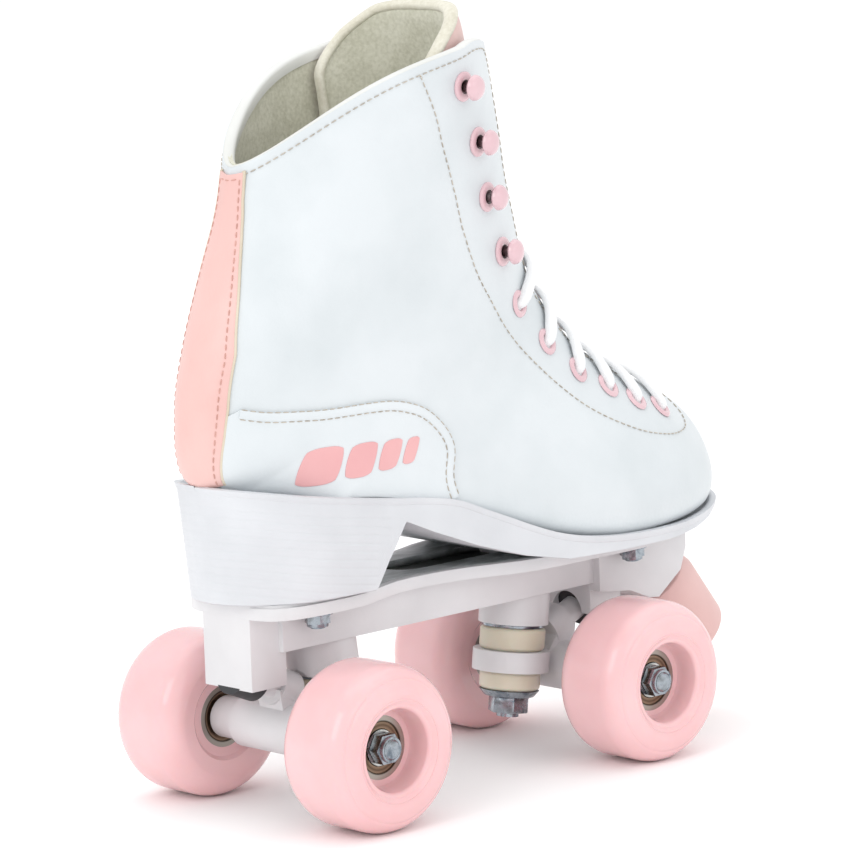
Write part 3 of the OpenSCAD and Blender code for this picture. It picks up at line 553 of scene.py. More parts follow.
def stitchRows(name, lines, body, slot, finish, pitch=2.9, length=2.2, radius=0.22):
    # one small thread loop is modelled, then laid again and again along each line
    deselect()
    bpy.ops.mesh.primitive_uv_sphere_add(segments=6, ring_count=5, radius=1, rotation=(0, math.pi / 2, 0))
    loop = bpy.context.object
    pick(loop)
    bpy.ops.object.transform_apply(location=False, rotation=True, scale=False)
    shape = points(loop.data).copy()
    ends = np.sign(shape[:, 0]) * np.abs(shape[:, 0]) ** 0.6
    faces = [tuple(face.vertices) for face in loop.data.polygons]
    bpy.data.objects.remove(loop)
    spots, quads, base = [], [], 0
    for line in lines:
        run = resample(line, pitch)
        for start, stop in zip(run[:-1], run[1:]):
            way = unit(stop - start)
            across = unit(np.cross(way, [0.31, 0.87, 0.38]))
            up = np.cross(way, across)
            centre = (start + stop) / 2
            spots.append(centre + ends[:, None] * way * length / 2 + shape[:, 1:2] * across * radius
                         + shape[:, 2:3] * up * radius)
            quads += [tuple(base + i for i in face) for face in faces]
            base += len(shape)
    mesh = bpy.data.meshes.new(name)
    mesh.from_pydata([tuple(p) for p in toFrame(np.vstack(spots))], [], quads)
    piece = placed(name, mesh)
    faceOut(piece)
    smooth(piece, 60)
    return dress(piece, body, slot, finish)


def tube(name, path, outward, section):
    # a closed cross section carried along a path; "outward" is the path's first cross direction
    path, outward = np.asarray(path, float), unit(outward)
    section = np.asarray(section, float)
    way = unit(np.gradient(path, axis=0))
    beside = unit(np.cross(way, outward))
    rows, columns = len(path) - 1, len(section)

    def shape(across, along):
        i = np.rint((along + 1) / 2 * rows).astype(int)
        j = np.rint((across + 1) / 2 * columns).astype(int) % columns
        return path[i] + outward[i] * section[j, 0:1] + beside[i] * section[j, 1:2]

    piece = gridPiece(name, rows, columns, shape, 0.001)
    capEnds(piece)
    smooth(piece, 50)
    return piece


print("boot surface ready")


bootShell = {"rows": 190, "columns": 168, "upper": 2.0, "lining": 1.6, "between": 0.12, "rim": 0.5,
             "edgeSeam": 3.6}

# The facing's seam on each side: from the collar down beside the hooks and eyelets, round the toe end.
facingSeam = [[15.12, .565], [13.96, .624], [13.18, .654], [12.39, .689], [11.33, .728],
              [10.27, .752], [9.34, .748],
              [8.34, .724], [7.53, .695], [6.85, .668], [6.0, .648], [5.17, .626], [4.3, .608],
              [3.6, .622],
              [3.05, .68], [2.8, .78], [2.82, .88], [3.0, .955]]


def seamLine(table, side, lift=0.0, count=260):
    us = through(table, np.linspace(0, len(table) - 1, count))
    return bootPoint(us[:, 0], us[:, 1], side, -lift)


def edgeLine(inset, side, lift=0.0, low=3.75):
    # runs up the facing and back along the collar, a set distance inside the edge
    up = np.linspace(low, 13.75 - inset / 16, 60)
    facing = np.stack([up, frontShare(up, slitHalf(up) + inset)], -1)
    s = np.clip(np.linspace(facing[-1, 1] - 0.035, 0.0, 90), 0.004, 1)
    collar = np.stack([collarEnd(s) - inset / 17, s], -1)
    us = rounded(np.vstack([facing, collar]), 3)
    return bootPoint(us[:, 0], us[:, 1], side, -lift)


def sink(piece, lines, width, depth):
    # a seam pulls the leather down along its line
    tree = KDTree(sum(len(line) for line in lines))
    n = 0
    for line in lines:
        for spot in toFrame(line):
            tree.insert(spot, n)
            n += 1
    tree.balance()
    normals = np.array([v.normal[:] for v in piece.data.vertices])
    spots = points(piece.data)
    away = np.array([tree.find(p)[2] for p in spots]) / mm
    spots = spots - normals * (depth * mm * np.exp(-(away / width) ** 2))[:, None]
    piece.data.vertices.foreach_set("co", spots.ravel())


upper = gridPiece("bootUpper", bootShell["rows"], bootShell["columns"], lambda a, t: wall(a, t, 0.0), 0.02)
facingLines = [seamLine(facingSeam, side) for side in (-1, 1)]
edgeLines = [edgeLine(bootShell["edgeSeam"], side) for side in (-1, 1)]
sink(upper, facingLines + edgeLines, 1.5, 0.32)
thicken(upper, bootShell["upper"])
roundEdges(upper, bootShell["rim"])
smooth(upper, 50)
dress(upper, "boot", "white_leather", whiteLeather, replaces=["upper"])

deepLining = bootShell["upper"] + bootShell["between"]
lining = gridPiece("bootLining", 130, 120, lambda a, t: wall(a, t, deepLining), 0.02)
thicken(lining, bootShell["lining"])
smooth(lining, 50)
dress(lining, "boot", "lining_fabric", liningCloth, replaces=["lining"])
print("upper and lining made")


def rimLine():
    up = throat + 0.002 + (14.02 - throat) * np.linspace(0, 1, 150) ** 1.8
    facing = np.stack([up, frontShare(up, slitHalf(up))], -1)
    s = np.linspace(facing[-1, 1], 0.0, 110)[1:]
    collar = np.stack([collarEnd(s), s], -1)
    return np.vstack([facing, collar])


def bandAlongEdge():
    # a thin rolled band covers the raw edge of upper and lining, from one slit end round to the other
    half = rimLine()
    sides = np.concatenate([np.full(len(half), -1.0), np.full(len(half) - 1, 1.0)])
    us = np.vstack([half, half[::-1][1:]])
    edge = bootPoint(us[:, 0], us[:, 1], sides)
    outward = bootNormal(us[:, 0], np.clip(us[:, 1], 0.004, 0.99), sides)
    both = resample(np.hstack([edge, outward]), 1.6)
    edge, outward = both[:, :3], unit(both[:, 3:])
    for _ in range(6):
        outward[1:-1] = unit(outward[:-2] + 2 * outward[1:-1] + outward[2:])
    return edge, outward


rimPath, rimOut = bandAlongEdge()
bandSection = [[-0.35, -0.5], [-0.25, 0.1], [-0.6, 0.5], [-1.3, 0.7], [-2.2, 0.75], [-3.2, 0.65],
               [-3.95, 0.3],
               [-4.25, -0.4], [-4.3, -2.0], [-4.2, -3.4], [-3.85, -3.6], [-3.4, -0.3], [-1.0, -0.3]]
band = tube("collarBand", rimPath, rimOut, bandSection)
dress(band, "boot", "white_leather", bandLeather)
print("collar band made")


# the strip narrows from the heel to the collar: place along the boot, half width
backstay = {"low": 9.9, "high": 14.85, "thick": 1.2,
            "half": [[9.9, 9], [10.6, 11.8], [11, 12.7], [11.8, 13], [12.6, 11], [13.2, 9.1],
                     [13.8, 7.2], [14.3, 6],
                     [14.85, 5.6]]}


def stayPoint(across, along, depth):
    t = (along + 1) / 2
    u = backstay["low"] + (backstay["high"] - backstay["low"]) * t
    y = np.interp(u, *np.array(backstay["half"]).T) * across
    return bootPoint(u, backShare(u, y), np.where(y < 0, -1.0, 1.0), depth)


stay = gridPiece("backstay", 90, 40, lambda a, t: stayPoint(-a, t, -backstay["thick"]))
thicken(stay, 1.1)
roundEdges(stay, 0.3)
smooth(stay, 50)
dress(stay, "boot", "pink_leather", pinkLeather, replaces=["backstay"])

for side in (-1, 1):
    t = np.linspace(-1, 1, 90)
    path = stayPoint(np.full(90, side * 1.0), t, -0.55)
    out = unit(stayPoint(np.full(90, side * 1.0), t, -2.0) - stayPoint(np.full(90, side * 1.0), t, 0.0))
    section = [[0.52, -0.3], [0.52, 0.3], [0.3, 0.62], [-0.42, 0.62], [-0.42, -0.62], [0.3, -0.62]]
    edge = tube("backstayEdge" + ("Right" if side < 0 else "Left"), path, out, section)
    dress(edge, "boot", "pink_leather", rawEdge)

t = np.linspace(-0.985, 0.96, 160)
stayStitches = [stayPoint(np.full(160, share), t, -1.28) for share in (-0.84, 0.84)]
a = np.linspace(-0.72, 0.72, 40)
stayStitches.append(stayPoint(a, np.full(40, 0.955), -1.28))
stitchRows("backstayStitches", stayStitches, "boot", "pink_leather", pinkThread, length=2.1, radius=0.3)

counterPatch = {"front": 7.34, "back": 10.9, "thick": 1.0, "band": 2.9,
                "top": [[7.34, .07], [7.55, .138], [7.82, .252], [8.18, .318], [8.66, .359],
                        [9.1, .361], [9.47, .344],
                        [9.87, .299], [10.29, .223], [10.66, .136], [10.9, .085]],
                "low": [[7.34, .04], [7.73, .02], [8.06, .015], [8.77, .01], [9.4, .01], [9.79, .012],
                        [10.58, .03],
                        [10.9, .05]]}
patchBorder = through(counterPatch["top"], np.linspace(0, len(counterPatch["top"]) - 1, 200))


def patchOutline(inset):
    # the patch's free border in side view: up from the sole, round the corner and back to the backstay
    line = resample(bootPoint(patchBorder[:, 0], patchBorder[:, 1], 1.0)[:, [0, 2]], 1.2)
    way = unit(np.gradient(line, axis=0))
    return line + np.stack([-way[:, 1], way[:, 0]], -1) * inset


patchStitches = []
for side, word in ((1, "Left"), (-1, "Right")):
    def patchShape(across, along, side=side):
        across = -across * side
        span = counterPatch["back"] - counterPatch["front"]
        u = counterPatch["front"] + span * ((along + 1) / 2) ** 1.6
        low = np.interp(u, *np.array(counterPatch["low"]).T)
        s = low + (np.interp(u, patchBorder[:, 0], patchBorder[:, 1]) - low) * (across + 1) / 2
        return bootPoint(u, s, side, -counterPatch["thick"])

    patch = gridPiece("counterPatch" + word, 96, 44, patchShape)
    thicken(patch, 0.9)
    smooth(patch, 50)
    dress(patch, "boot", "white_patch", patchLeather, replaces=["counter_" + word.lower()])

    def onPatch(flat, lift, side=side):
        u, s = onSide(flat[:, 0], flat[:, 1])
        out = bootNormal(u, np.clip(s, 0.006, 0.99), np.full(u.shape, float(side)))
        return bootPoint(u, s, side, -lift), out

    centre, out = onPatch(patchOutline(counterPatch["band"] / 2), counterPatch["thick"] + 0.12)
    half = counterPatch["band"] / 2
    section = [[0.22, -half * 0.7], [0.3, 0.0], [0.22, half * 0.7], [0.0, half], [-0.4, half],
               [-0.4, -half], [0.0, -half]]
    border = tube("patchBorder" + word, centre, out, section)
    dress(border, "boot", "white_patch", patchLeather)
    for inset in (-0.15, counterPatch["band"] + 0.25):
        patchStitches.append(onPatch(patchOutline(inset), counterPatch["thick"] + 0.1)[0])

    # a plain pattern of four slanted rounded blocks, each smaller than the last
    motif = {"start": -7.0, "low": 117.0, "high": 129.5, "slant": 0.34, "gap": 2.0,
             "widths": [15.0, 11.5, 8.5, 5.5]}
    x0 = motif["start"]
    for number, width in enumerate(motif["widths"]):
        def blockShape(across, along, x0=x0, width=width, number=number, side=side):
            along = -along if side > 0 else along
            tall = (motif["high"] - motif["low"]) * (1 - 0.1 * number)
            px, pz = across * width / 2, along * tall / 2
            lean = np.sqrt(1 - 0.5 * along ** 2)
            px = px * (0.35 + 0.65 * lean ** 0.6)
            pz = pz * (1 - 0.18 * (np.abs(across)) ** 3)
            x = x0 + width / 2 + px + pz * motif["slant"]
            z = (motif["low"] + motif["high"]) / 2 + pz + 0.03 * x
            u, s = onSide(x, z)
            return bootPoint(u, s, side, -counterPatch["thick"] - 0.32)

        block = gridPiece("motif%s%d" % (word, number + 1), 18, 18, blockShape)
        thicken(block, 0.4)
        roundEdges(block, 0.12)
        smooth(block, 50)
        dress(block, "boot", "pink_enamel", pinkPrint)
        x0 += width + motif["gap"]

stitchRows("upperStitches", facingLines + edgeLines + patchStitches, "boot", "white_leather", greyThread)
print("backstay, patches and stitching made")


tongue = {"low": 3.9, "high": 15.5, "outer": 5.8, "thick": 5.0, "bendBelow": 14, "bendAbove": 16,
          "middleX": 0.086, "middleLean": 0.235}
flexJoint = [joint for joint in frame["joints"] if joint["name"] == "tongue_flex"][0]
hinge = Vector(flexJoint["pos_m"])
upTongue = Vector((-0.54, 0.0, 0.842))
flexBlend = (("boot", "tongue_top"), hinge - upTongue * tongue["bendBelow"] * mm,
             hinge + upTongue * tongue["bendAbove"] * mm)


def tongueSheet(u, reach, depth):
    # "reach" runs from one wing's edge at -1 to the other's at 1
    wing = 0.1 + 0.26 * np.sqrt(np.clip((u - tongue["low"]) / 9, 0, 1))
    s = 1 - wing * np.abs(reach) ** (1 / through(stations, u)[..., 6])
    return bootPoint(u, s, np.where(reach < 0, -1.0, 1.0), depth)


def tongueCorner(u):
    return 0.97 * (1 - 0.34 * np.clip((u - tongue["high"] + 0.95) / 0.95, 0, 1) ** 2.2)


def tongueShape(across, along):
    # the section is a flat pad with full, rounded edges; both ends close to a thin lip
    turn = np.pi * across
    t = (along + 1) / 2
    u = tongue["low"] + (tongue["high"] - tongue["low"]) * t
    flatCos = np.sign(np.cos(turn)) * np.abs(np.cos(turn)) ** 0.75
    flatSin = np.sign(np.sin(turn)) * np.abs(np.sin(turn)) ** 0.45
    closing = np.clip(1 - np.abs(along) ** 40, 0, 1) ** 0.5
    depth = tongue["outer"] + tongue["thick"] * (0.5 + 0.5 * flatSin * closing)
    return tongueSheet(u, tongueCorner(u) * flatCos, depth)


tonguePad = gridPiece("tonguePad", 150, 84, tongueShape, 0.01)
faceOut(tonguePad)
smooth(tonguePad, 60)
dress(tonguePad, None, "pink_leather", tongueLeather, liningCloth)
centres = faceCentres(tonguePad.data) - toFrame([0, 0, 0])
normals = np.empty(len(tonguePad.data.polygons) * 3)
tonguePad.data.polygons.foreach_get("normal", normals)
normals = normals.reshape(-1, 3)
# the boot's own middle line leans back as it rises; faces that look toward it are the lined side
middleLine = tongue["middleX"] - tongue["middleLean"] * centres[:, 2]
fromMiddle = np.stack([centres[:, 0] - middleLine, centres[:, 1]], -1)
inner = (np.sum(normals[:, :2] * fromMiddle, axis=1) < 0).astype(np.int32)
tonguePad.data.polygons.foreach_set("material_index", inner)
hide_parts("tongue_lower", "tongue_upper")
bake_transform(tonguePad, *flexBlend[0], start=flexBlend[1], end=flexBlend[2])


def tongueRim():
    up = np.linspace(6.2, tongue["high"] - 0.04, 130)
    left = np.stack([up, -tongueCorner(up)], -1)
    top = np.stack([np.full(40, up[-1]), np.linspace(left[-1, 1], -left[-1, 1], 40)], -1)
    line = rounded(np.vstack([left[:-3], top[3:-3], (left * [1, -1])[::-1][3:]]), 3)
    edge = tongueSheet(line[:, 0], line[:, 1], tongue["outer"] + tongue["thick"] / 2)
    out = unit(tongueSheet(line[:, 0], line[:, 1], tongue["outer"])
               - tongueSheet(line[:, 0], line[:, 1], tongue["outer"] + 5))
    both = resample(np.hstack([edge, out]), 1.5)
    return both[:, :3], unit(both[:, 3:])


rimLineTongue, rimOutTongue = tongueRim()
turns = np.linspace(0, 2 * np.pi, 16, endpoint=False)
flatSine = np.sign(np.sin(turns)) * np.abs(np.sin(turns)) ** 0.8
bindingSection = np.stack([2.6 * np.cos(turns), 1.5 * flatSine], -1)
binding = tube("tongueBinding", rimLineTongue, rimOutTongue, bindingSection)
dress(binding, None, "lining_fabric", bindingCloth)
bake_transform(binding, *flexBlend[0], start=flexBlend[1], end=flexBlend[2])
print("tongue made")


# eyelets: place along the boot, share of the way from its underside to its front
laceRibbon = {"width": 6.4, "thick": 2.3,
              "eyelets": [[3.75, .791], [4.58, .799], [5.4, .812], [6.29, .799], [7.27, .803], [8.34, .827]]}


def eyeletY(u):
    places = np.array(laceRibbon["eyelets"])
    k = through(stations, u)
    return k[..., 4] / peakOf(k) * (1 - np.interp(u, *places.T)) ** k[..., 6]


def lacePath(stops):
    # stops: u, y, depth; the smooth path through them and the leather's own normal beside it
    line = through(stops, np.linspace(0, len(stops) - 1, 64))
    u, y, depth = line[:, 0], line[:, 1], line[:, 2]
    s = np.minimum(frontShare(u, y), 0.9999)
    side = np.where(y < 0, -1.0, 1.0)
    sheet = bootPoint(u, s, side)
    far = np.maximum(np.abs(y), 7.0)
    out = bootNormal(u, np.minimum(frontShare(u, far), 0.985), side)
    blendIn = np.clip(np.abs(y) / 7.0, 0, 1)[:, None]
    level = unit(out * [1, 0, 1])
    out = unit(out * blendIn + level * (1 - blendIn))
    return sheet - out * depth[:, None], out


def lace(name, stops, pinchStart, pinchEnd):
    path, out = lacePath(stops)
    path, out = np.split(resample(np.hstack([path, out]), 0.9), 2, axis=1)
    out = unit(out)
    way = unit(np.gradient(path, axis=0))
    for _ in range(3):
        way[1:-1] = unit(way[:-2] + way[1:-1] + way[2:])
    beside = unit(np.cross(way, out))
    lift = np.cross(beside, way)
    count = len(path)
    t = np.linspace(0, 1, count)
    narrow = np.ones(count)
    if pinchStart:
        narrow *= 0.52 + 0.48 * np.clip(t * count * 0.9 / 7.5 - 0.25, 0, 1)
    if pinchEnd:
        narrow *= 0.52 + 0.48 * np.clip((1 - t) * count * 0.9 / 7.5 - 0.25, 0, 1)
    turns = np.linspace(0, 2 * np.pi, 20, endpoint=False)
    ring = np.stack([np.sign(np.cos(turns)) * np.abs(np.cos(turns)) ** 0.5,
                     np.sign(np.sin(turns)) * np.abs(np.sin(turns)) ** 0.8], -1)

    def shape(across, along):
        i = np.rint((along + 1) / 2 * (count - 1)).astype(int)
        j = np.rint((across + 1) / 2 * 20).astype(int) % 20
        wide = laceRibbon["width"] / 2 * narrow[i]
        thick = laceRibbon["thick"] / 2 * (1 + 0.8 * (1 - narrow[i]))
        crown = 0.25 * (1 - ring[j, 0] ** 2) * narrow[i]
        return (path[i] + beside[i] * (ring[j, 0] * wide)[:, None]
                + lift[i] * (ring[j, 1] * thick + crown)[:, None])

    piece = gridPiece(name, count - 1, 20, shape, 0.001)
    capEnds(piece)
    smooth(piece, 60)
    return piece


laces = []
eye = [place[0] for place in laceRibbon["eyelets"]]
e0 = float(eyeletY(eye[0]))
barStops = [[eye[0], -e0, 3.0], [eye[0], -e0, 0.2], [eye[0], -e0 + 2.2, -1.5],
            [eye[0] - 0.02, -4.0, -2.0],
            [eye[0] - 0.02, 4.0, -2.0], [eye[0], e0 - 2.2, -1.5], [eye[0], e0, 0.2], [eye[0], e0, 3.0]]
laces.append(lace("laceBar", barStops, True, True))
for i in range(len(eye)):
    u0 = eye[i]
    last = i == len(eye) - 1
    u1 = u0 + 0.75 if last else eye[i + 1]
    a, b = float(eyeletY(u0)), float(eyeletY(u1)) + (3.0 if last else 0.0)
    edgeA, edgeB = float(slitHalf(u0 + 0.25 * (u1 - u0))), float(slitHalf(u0 + 0.75 * (u1 - u0)))
    for side in (-1, 1):
        mid = 1.6 if side < 0 else 3.6
        if i == 0:
            start = [[u0, -a, 3.0], [u0 + 0.05, -a + 2.0, 4.5], [u0 + 0.2, -edgeA, 4.3]]
            mid = 2.8 if side < 0 else 4.2
        else:
            start = [[u0, -a, 3.2], [u0, -a, 0.4], [u0 + 0.03, -a + 1.8, -1.5],
                     [u0 + 0.22 * (u1 - u0), -edgeA - 0.5, -1.6]]
        stops = start + [[(u0 + u1) / 2, 0.0, mid], [u0 + 0.75 * (u1 - u0), edgeB + 0.5, 4.2],
                         [u1 - 0.04, b - 2.5, 4.7], [u1, b, 4.2]]
        stops = np.array(stops) * [1, -side, 1]
        laces.append(lace("laceCross%d%s" % (i + 1, "Right" if side < 0 else "Left"), stops, i > 0, False))
deselect()
for piece in laces:
    piece.select_set(True)
bpy.context.view_layer.objects.active = laces[0]
bpy.ops.object.join()
laceWork = bpy.context.object
laceWork.name = "laceWork"
dress(laceWork, "boot", "lace_cotton", laceCotton, replaces=["lace"])
print("laces made")


soleUnit = {"taper": 0.085, "lines": 2.9, "lineDepth": 0.16, "lineAt": 1.45, "lineHalf": 0.45,
            "lip": 0.7, "lipDeep": 2.4, "seatDip": 1.8}
solePlan = [[-34.9, 0, 0], [-34.3, 6, 0], [-30.2, 15.4, 0], [-20.6, 24.6, 0], [-6, 31, 0],
            [30, 33, 0], [64, 34.4, 0],
            [98, 38.4, 0], [130, 42.2, 0], [157, 41.6, 1], [180, 36.5, 3], [197, 26.8, 4], [205.4, 15, 5],
            [208.6, 5, 5], [209.2, 0, 5]]
# where the upper meets the sole's lip: place forward of the rear axle, height
featherLine = [[-41, 119.4], [-28, 117.5], [2, 112.5], [26, 108.9], [40, 107.1], [55, 104.2],
               [71, 97.8], [99, 86.7],
               [123, 82.3], [157, 81.1], [180, 81.9], [197, 83.6], [214, 87]]
underLine = [[-27, 77.55], [19.5, 77.55], [31, 100], [44, 94.4], [64, 86.7], [85, 80.2], [104, 76.45],
             [157, 76.45],
             [172, 77.3], [185, 79], [197, 81.6], [206, 84.2], [214, 86.3]]
planDense = through(solePlan, np.linspace(0, len(solePlan) - 1, 900))
planDense[:, 1] = np.maximum(planDense[:, 1], 0)
featherDense = through(featherLine, np.linspace(0, len(featherLine) - 1, 600))


def soleShape(across, along):
    # sections along the outline: across the underside, up one wall, over the top and down the other
    t = (along + 1) / 2
    lengths = np.concatenate([[0], np.cumsum(np.hypot(*np.diff(planDense[:, :2], axis=0).T))])
    at = t * lengths[-1]
    x = np.interp(at, lengths, planDense[:, 0])
    half = np.interp(at, lengths, planDense[:, 1])
    shift = np.interp(at, lengths, planDense[:, 2])
    eps = 0.4
    dx = np.interp(at + eps, lengths, planDense[:, 0]) - np.interp(at - eps, lengths, planDense[:, 0])
    dh = np.interp(at + eps, lengths, planDense[:, 1]) - np.interp(at - eps, lengths, planDense[:, 1])
    size = np.maximum(np.hypot(dx, dh), 1e-6)
    nx, ny = -dh / size, dx / size
    top = np.interp(x, featherDense[:, 0], featherDense[:, 1])
    under = np.interp(x, [p[0] for p in underLine], [p[1] for p in underLine])
    depth = np.maximum(top - under, 0.6)
    heel = np.clip((34 - x) / 10, 0, 1)
    w = np.mod(across + 1, 2) / 2
    # w 0-0.33 right wall going up, 0.33-0.5 top, 0.5-0.83 left wall going down, 0.83-1 underside
    up = np.where(w < 0.33, w / 0.33, np.where(w < 0.5, 1.0, np.where(w < 0.83, (0.83 - w) / 0.33, 0.0)))
    over = np.where(w < 0.33, -1.0, np.where(w < 0.5, -1 + 2 * (w - 0.33) / 0.17,
                    np.where(w < 0.83, 1.0, 1 - 2 * (w - 0.83) / 0.17)))
    down = depth * (1 - up)
    inset = soleUnit["taper"] * down * heel
    fromLine = np.abs(np.mod(down, soleUnit["lines"]) - soleUnit["lineAt"])
    grooves = soleUnit["lineDepth"] * np.clip(1 - fromLine / soleUnit["lineHalf"], 0, 1)
    inset = inset + grooves * heel * (down > 5)
    lip = soleUnit["lip"] * np.clip(1 - down / soleUnit["lipDeep"], 0, 1) ** 0.5
    inset = inset - lip * (up < 1) + 0.45 * (up >= 1) + 0.5 * (up <= 0.001)
    reach = np.maximum(half - inset * ny, 0.0)
    dip = soleUnit["seatDip"] * (up >= 1) * np.clip((half - np.abs(over * reach) - 2.2) / 2, 0, 1)
    drawnIn = np.where(x < 0, 1.0, -1.0) * inset * np.abs(nx)
    return np.stack([x + drawnIn, shift + over * reach, top - down - dip], -1)


sole = gridPiece("soleUnit", 330, 300, soleShape, 0.02)
faceOut(sole)
smooth(sole, 40)
dress(sole, "boot", "white_sole", soleRubber, replaces=["outsole_heel"])


insolePlan = [[-25, 4, 0], [-22, 10, 0], [-10, 13.2, 0], [4, 15.6, 0], [28, 19.2, 0], [64, 23.6, 0],
              [98, 28.6, 0],
              [130, 33.4, 0], [157, 33.4, 1], [180, 28.2, 3], [194, 20, 4], [199, 12, 4], [201, 4, 4]]
insoleDense = through(insolePlan, np.linspace(0, len(insolePlan) - 1, 600))
seatLine = [[-40, 117.2], [-24, 114.9], [-6, 112.5], [28, 107.7], [64, 97.3], [98, 85.9], [130, 79.9],
            [157, 79.9],
            [180, 80.9], [197, 82.5], [214, 85]]
seatDense = through(seatLine, np.linspace(0, len(seatLine) - 1, 600))


def footbedShape(across, along):
    back, front, rests = -23.0, 199.0, 13.6
    x = back + (front - back) * (along + 1) / 2
    half = np.interp(x, insoleDense[:, 0], insoleDense[:, 1]) - 0.3
    shift = np.interp(x, insoleDense[:, 0], insoleDense[:, 2])
    ends = np.clip(1 - np.abs(along) ** 14, 0.0, 1) ** 0.5
    half = np.maximum(half, 1) * (0.25 + 0.75 * ends)
    rise = 0.9 * np.abs(across) ** 4
    z = np.interp(x, seatDense[:, 0], seatDense[:, 1]) + rests + rise
    return np.stack([x, shift + half * across, z], -1)


insole = gridPiece("footbedSheet", 90, 30, footbedShape)
thicken(insole, 2.2)
roundEdges(insole, 0.5)
smooth(insole, 50)
dress(insole, "boot", "footbed_foam", footbedCloth, replaces=["footbed"])

platePlan = [[-24, 14], [-20, 22], [-8, 26], [16, 26], [40, 19], [66, 20], [96, 29], [125, 30]]
plateDense = through(platePlan, np.linspace(0, len(platePlan) - 1, 300))


def filmShape(across, along):
    back, front = 26.5, 102.5
    x = back + (front - back) * (along + 1) / 2
    half = np.interp(x, plateDense[:, 0], plateDense[:, 1]) - 2.6
    y = half * across
    fromSlot = np.hypot(np.maximum(np.abs(x - 78) - 18, 0), y) - 8.6
    sunk = 2.3 * np.clip(0.5 - fromSlot / 0.9, 0, 1)
    return np.stack([x, y, 76.62 - sunk], -1)


film = gridPiece("plateFilm", 150, 90, filmShape)
thicken(film, 0.1)
smooth(film, 50)
dress(film, "boot", "zinc_steel", mottledGrey())
print("sole, footbed and plate film made")


wheelShape = {"radius": 29.0, "width": 32.0, "edge": 9.0, "mouth": 28.5, "mouthIn": 1.6, "bearing": 22.04,
              "steps": 120, "rings": [17.9, 24.6], "ringDepth": 0.22}


def arc(centreR, centreY, radius, start, stop, count):
    turns = np.radians(np.linspace(start, stop, count))
    return [[centreR + radius * math.cos(t), centreY + radius * math.sin(t)] for t in turns]


def wheelProfile():
    # radius and distance from the middle plane, outer face positive
    r, half, edge = wheelShape["radius"], wheelShape["width"] / 2, wheelShape["edge"]
    mouth, seat = wheelShape["mouth"] / 2, wheelShape["bearing"] / 2
    rim = half - wheelShape["mouthIn"]
    outer = arc(r - edge, half - edge, edge, 0, 86, 20)
    lipOut = arc(mouth + 1.6, rim - 1.2, 1.6, 80, 175, 7)
    bore = [[mouth - 0.35, rim - 4], [mouth - 0.5, 8.2], [mouth - 0.7, 6.9], [mouth - 1.2, 6.15],
            [seat, 6.0]]
    hub = [[seat, -1.0], [seat - 2.5, -1.0], [seat - 2.5, -6.0], [seat, -6.0], [seat, -13.0]]
    inner = [[mouth, -rim + 1.0]] + [[p[0], -p[1]] for p in arc(mouth + 1.6, rim - 1.2, 1.6, 100, 80, 3)]
    back = [[p[0], -p[1]] for p in arc(r - edge, half - edge, edge, 86, 0, 14)]
    extra = []
    for ring in wheelShape["rings"]:
        for offset, deep in ((-0.45, 0.0), (0.0, wheelShape["ringDepth"]), (0.45, 0.0)):
            radius = ring + offset
            if radius >= r - edge:
                y = half - edge + math.sqrt(max(edge ** 2 - (radius - (r - edge)) ** 2, 0))
            else:
                y = half - 0.3 * (r - edge - radius) / (r - edge - mouth - 3)
            extra.append([radius, y - deep])
    profile = [p for p in outer if all(abs(p[0] - q[0]) > 0.3 or p[1] < 10 for q in extra)] + extra
    profile.sort(key=lambda p: -p[0] if p[1] > 9 else -100 + p[1])
    return profile + lipOut + bore + hub + inner + back


def spun(name, profile, centre, side, steps):
    # the profile is drawn above the axle, then spun right round it
    mesh = bpy.data.meshes.new(name)
    spots = [(centre.x, centre.y + side * y * mm, centre.z + radius * mm) for radius, y in profile]
    loop = list(range(len(spots)))
    mesh.from_pydata(spots, [(i, (i + 1) % len(spots)) for i in loop], [])
    piece = placed(name, mesh)
    editAll(piece)
    bpy.ops.mesh.spin(steps=steps, angle=2 * math.pi, center=centre, axis=(0, 1, 0))
    bpy.ops.mesh.select_all(action="SELECT")
    bpy.ops.mesh.remove_doubles(threshold=0.01 * mm)
    bpy.ops.mesh.normals_make_consistent(inside=False)
    leaveEdit()
    smooth(piece, 32)
    return piece


# hooks: place along the boot, share of the way from its underside to its front
laceHooks = {"places": [[9.73, .857], [11.16, .841], [12.55, .812], [14.1, .755]],
             "base": [[0, 0.02], [5.2, 0.02], [5.2, 0.5], [4.7, 1.0], [3.4, 1.25], [2.5, 1.0]],
             "stem": [[2.5, 0.9], [1.9, 1.0], [1.9, 3.6], [0, 3.6]],
             "head": [[0, 3.4], [2.4, 3.5], [3.9, 4.0], [4.5, 4.8], [4.35, 5.7], [3.7, 6.6],
                      [2.6, 7.3], [1.3, 7.65],
                      [0, 7.75]]}


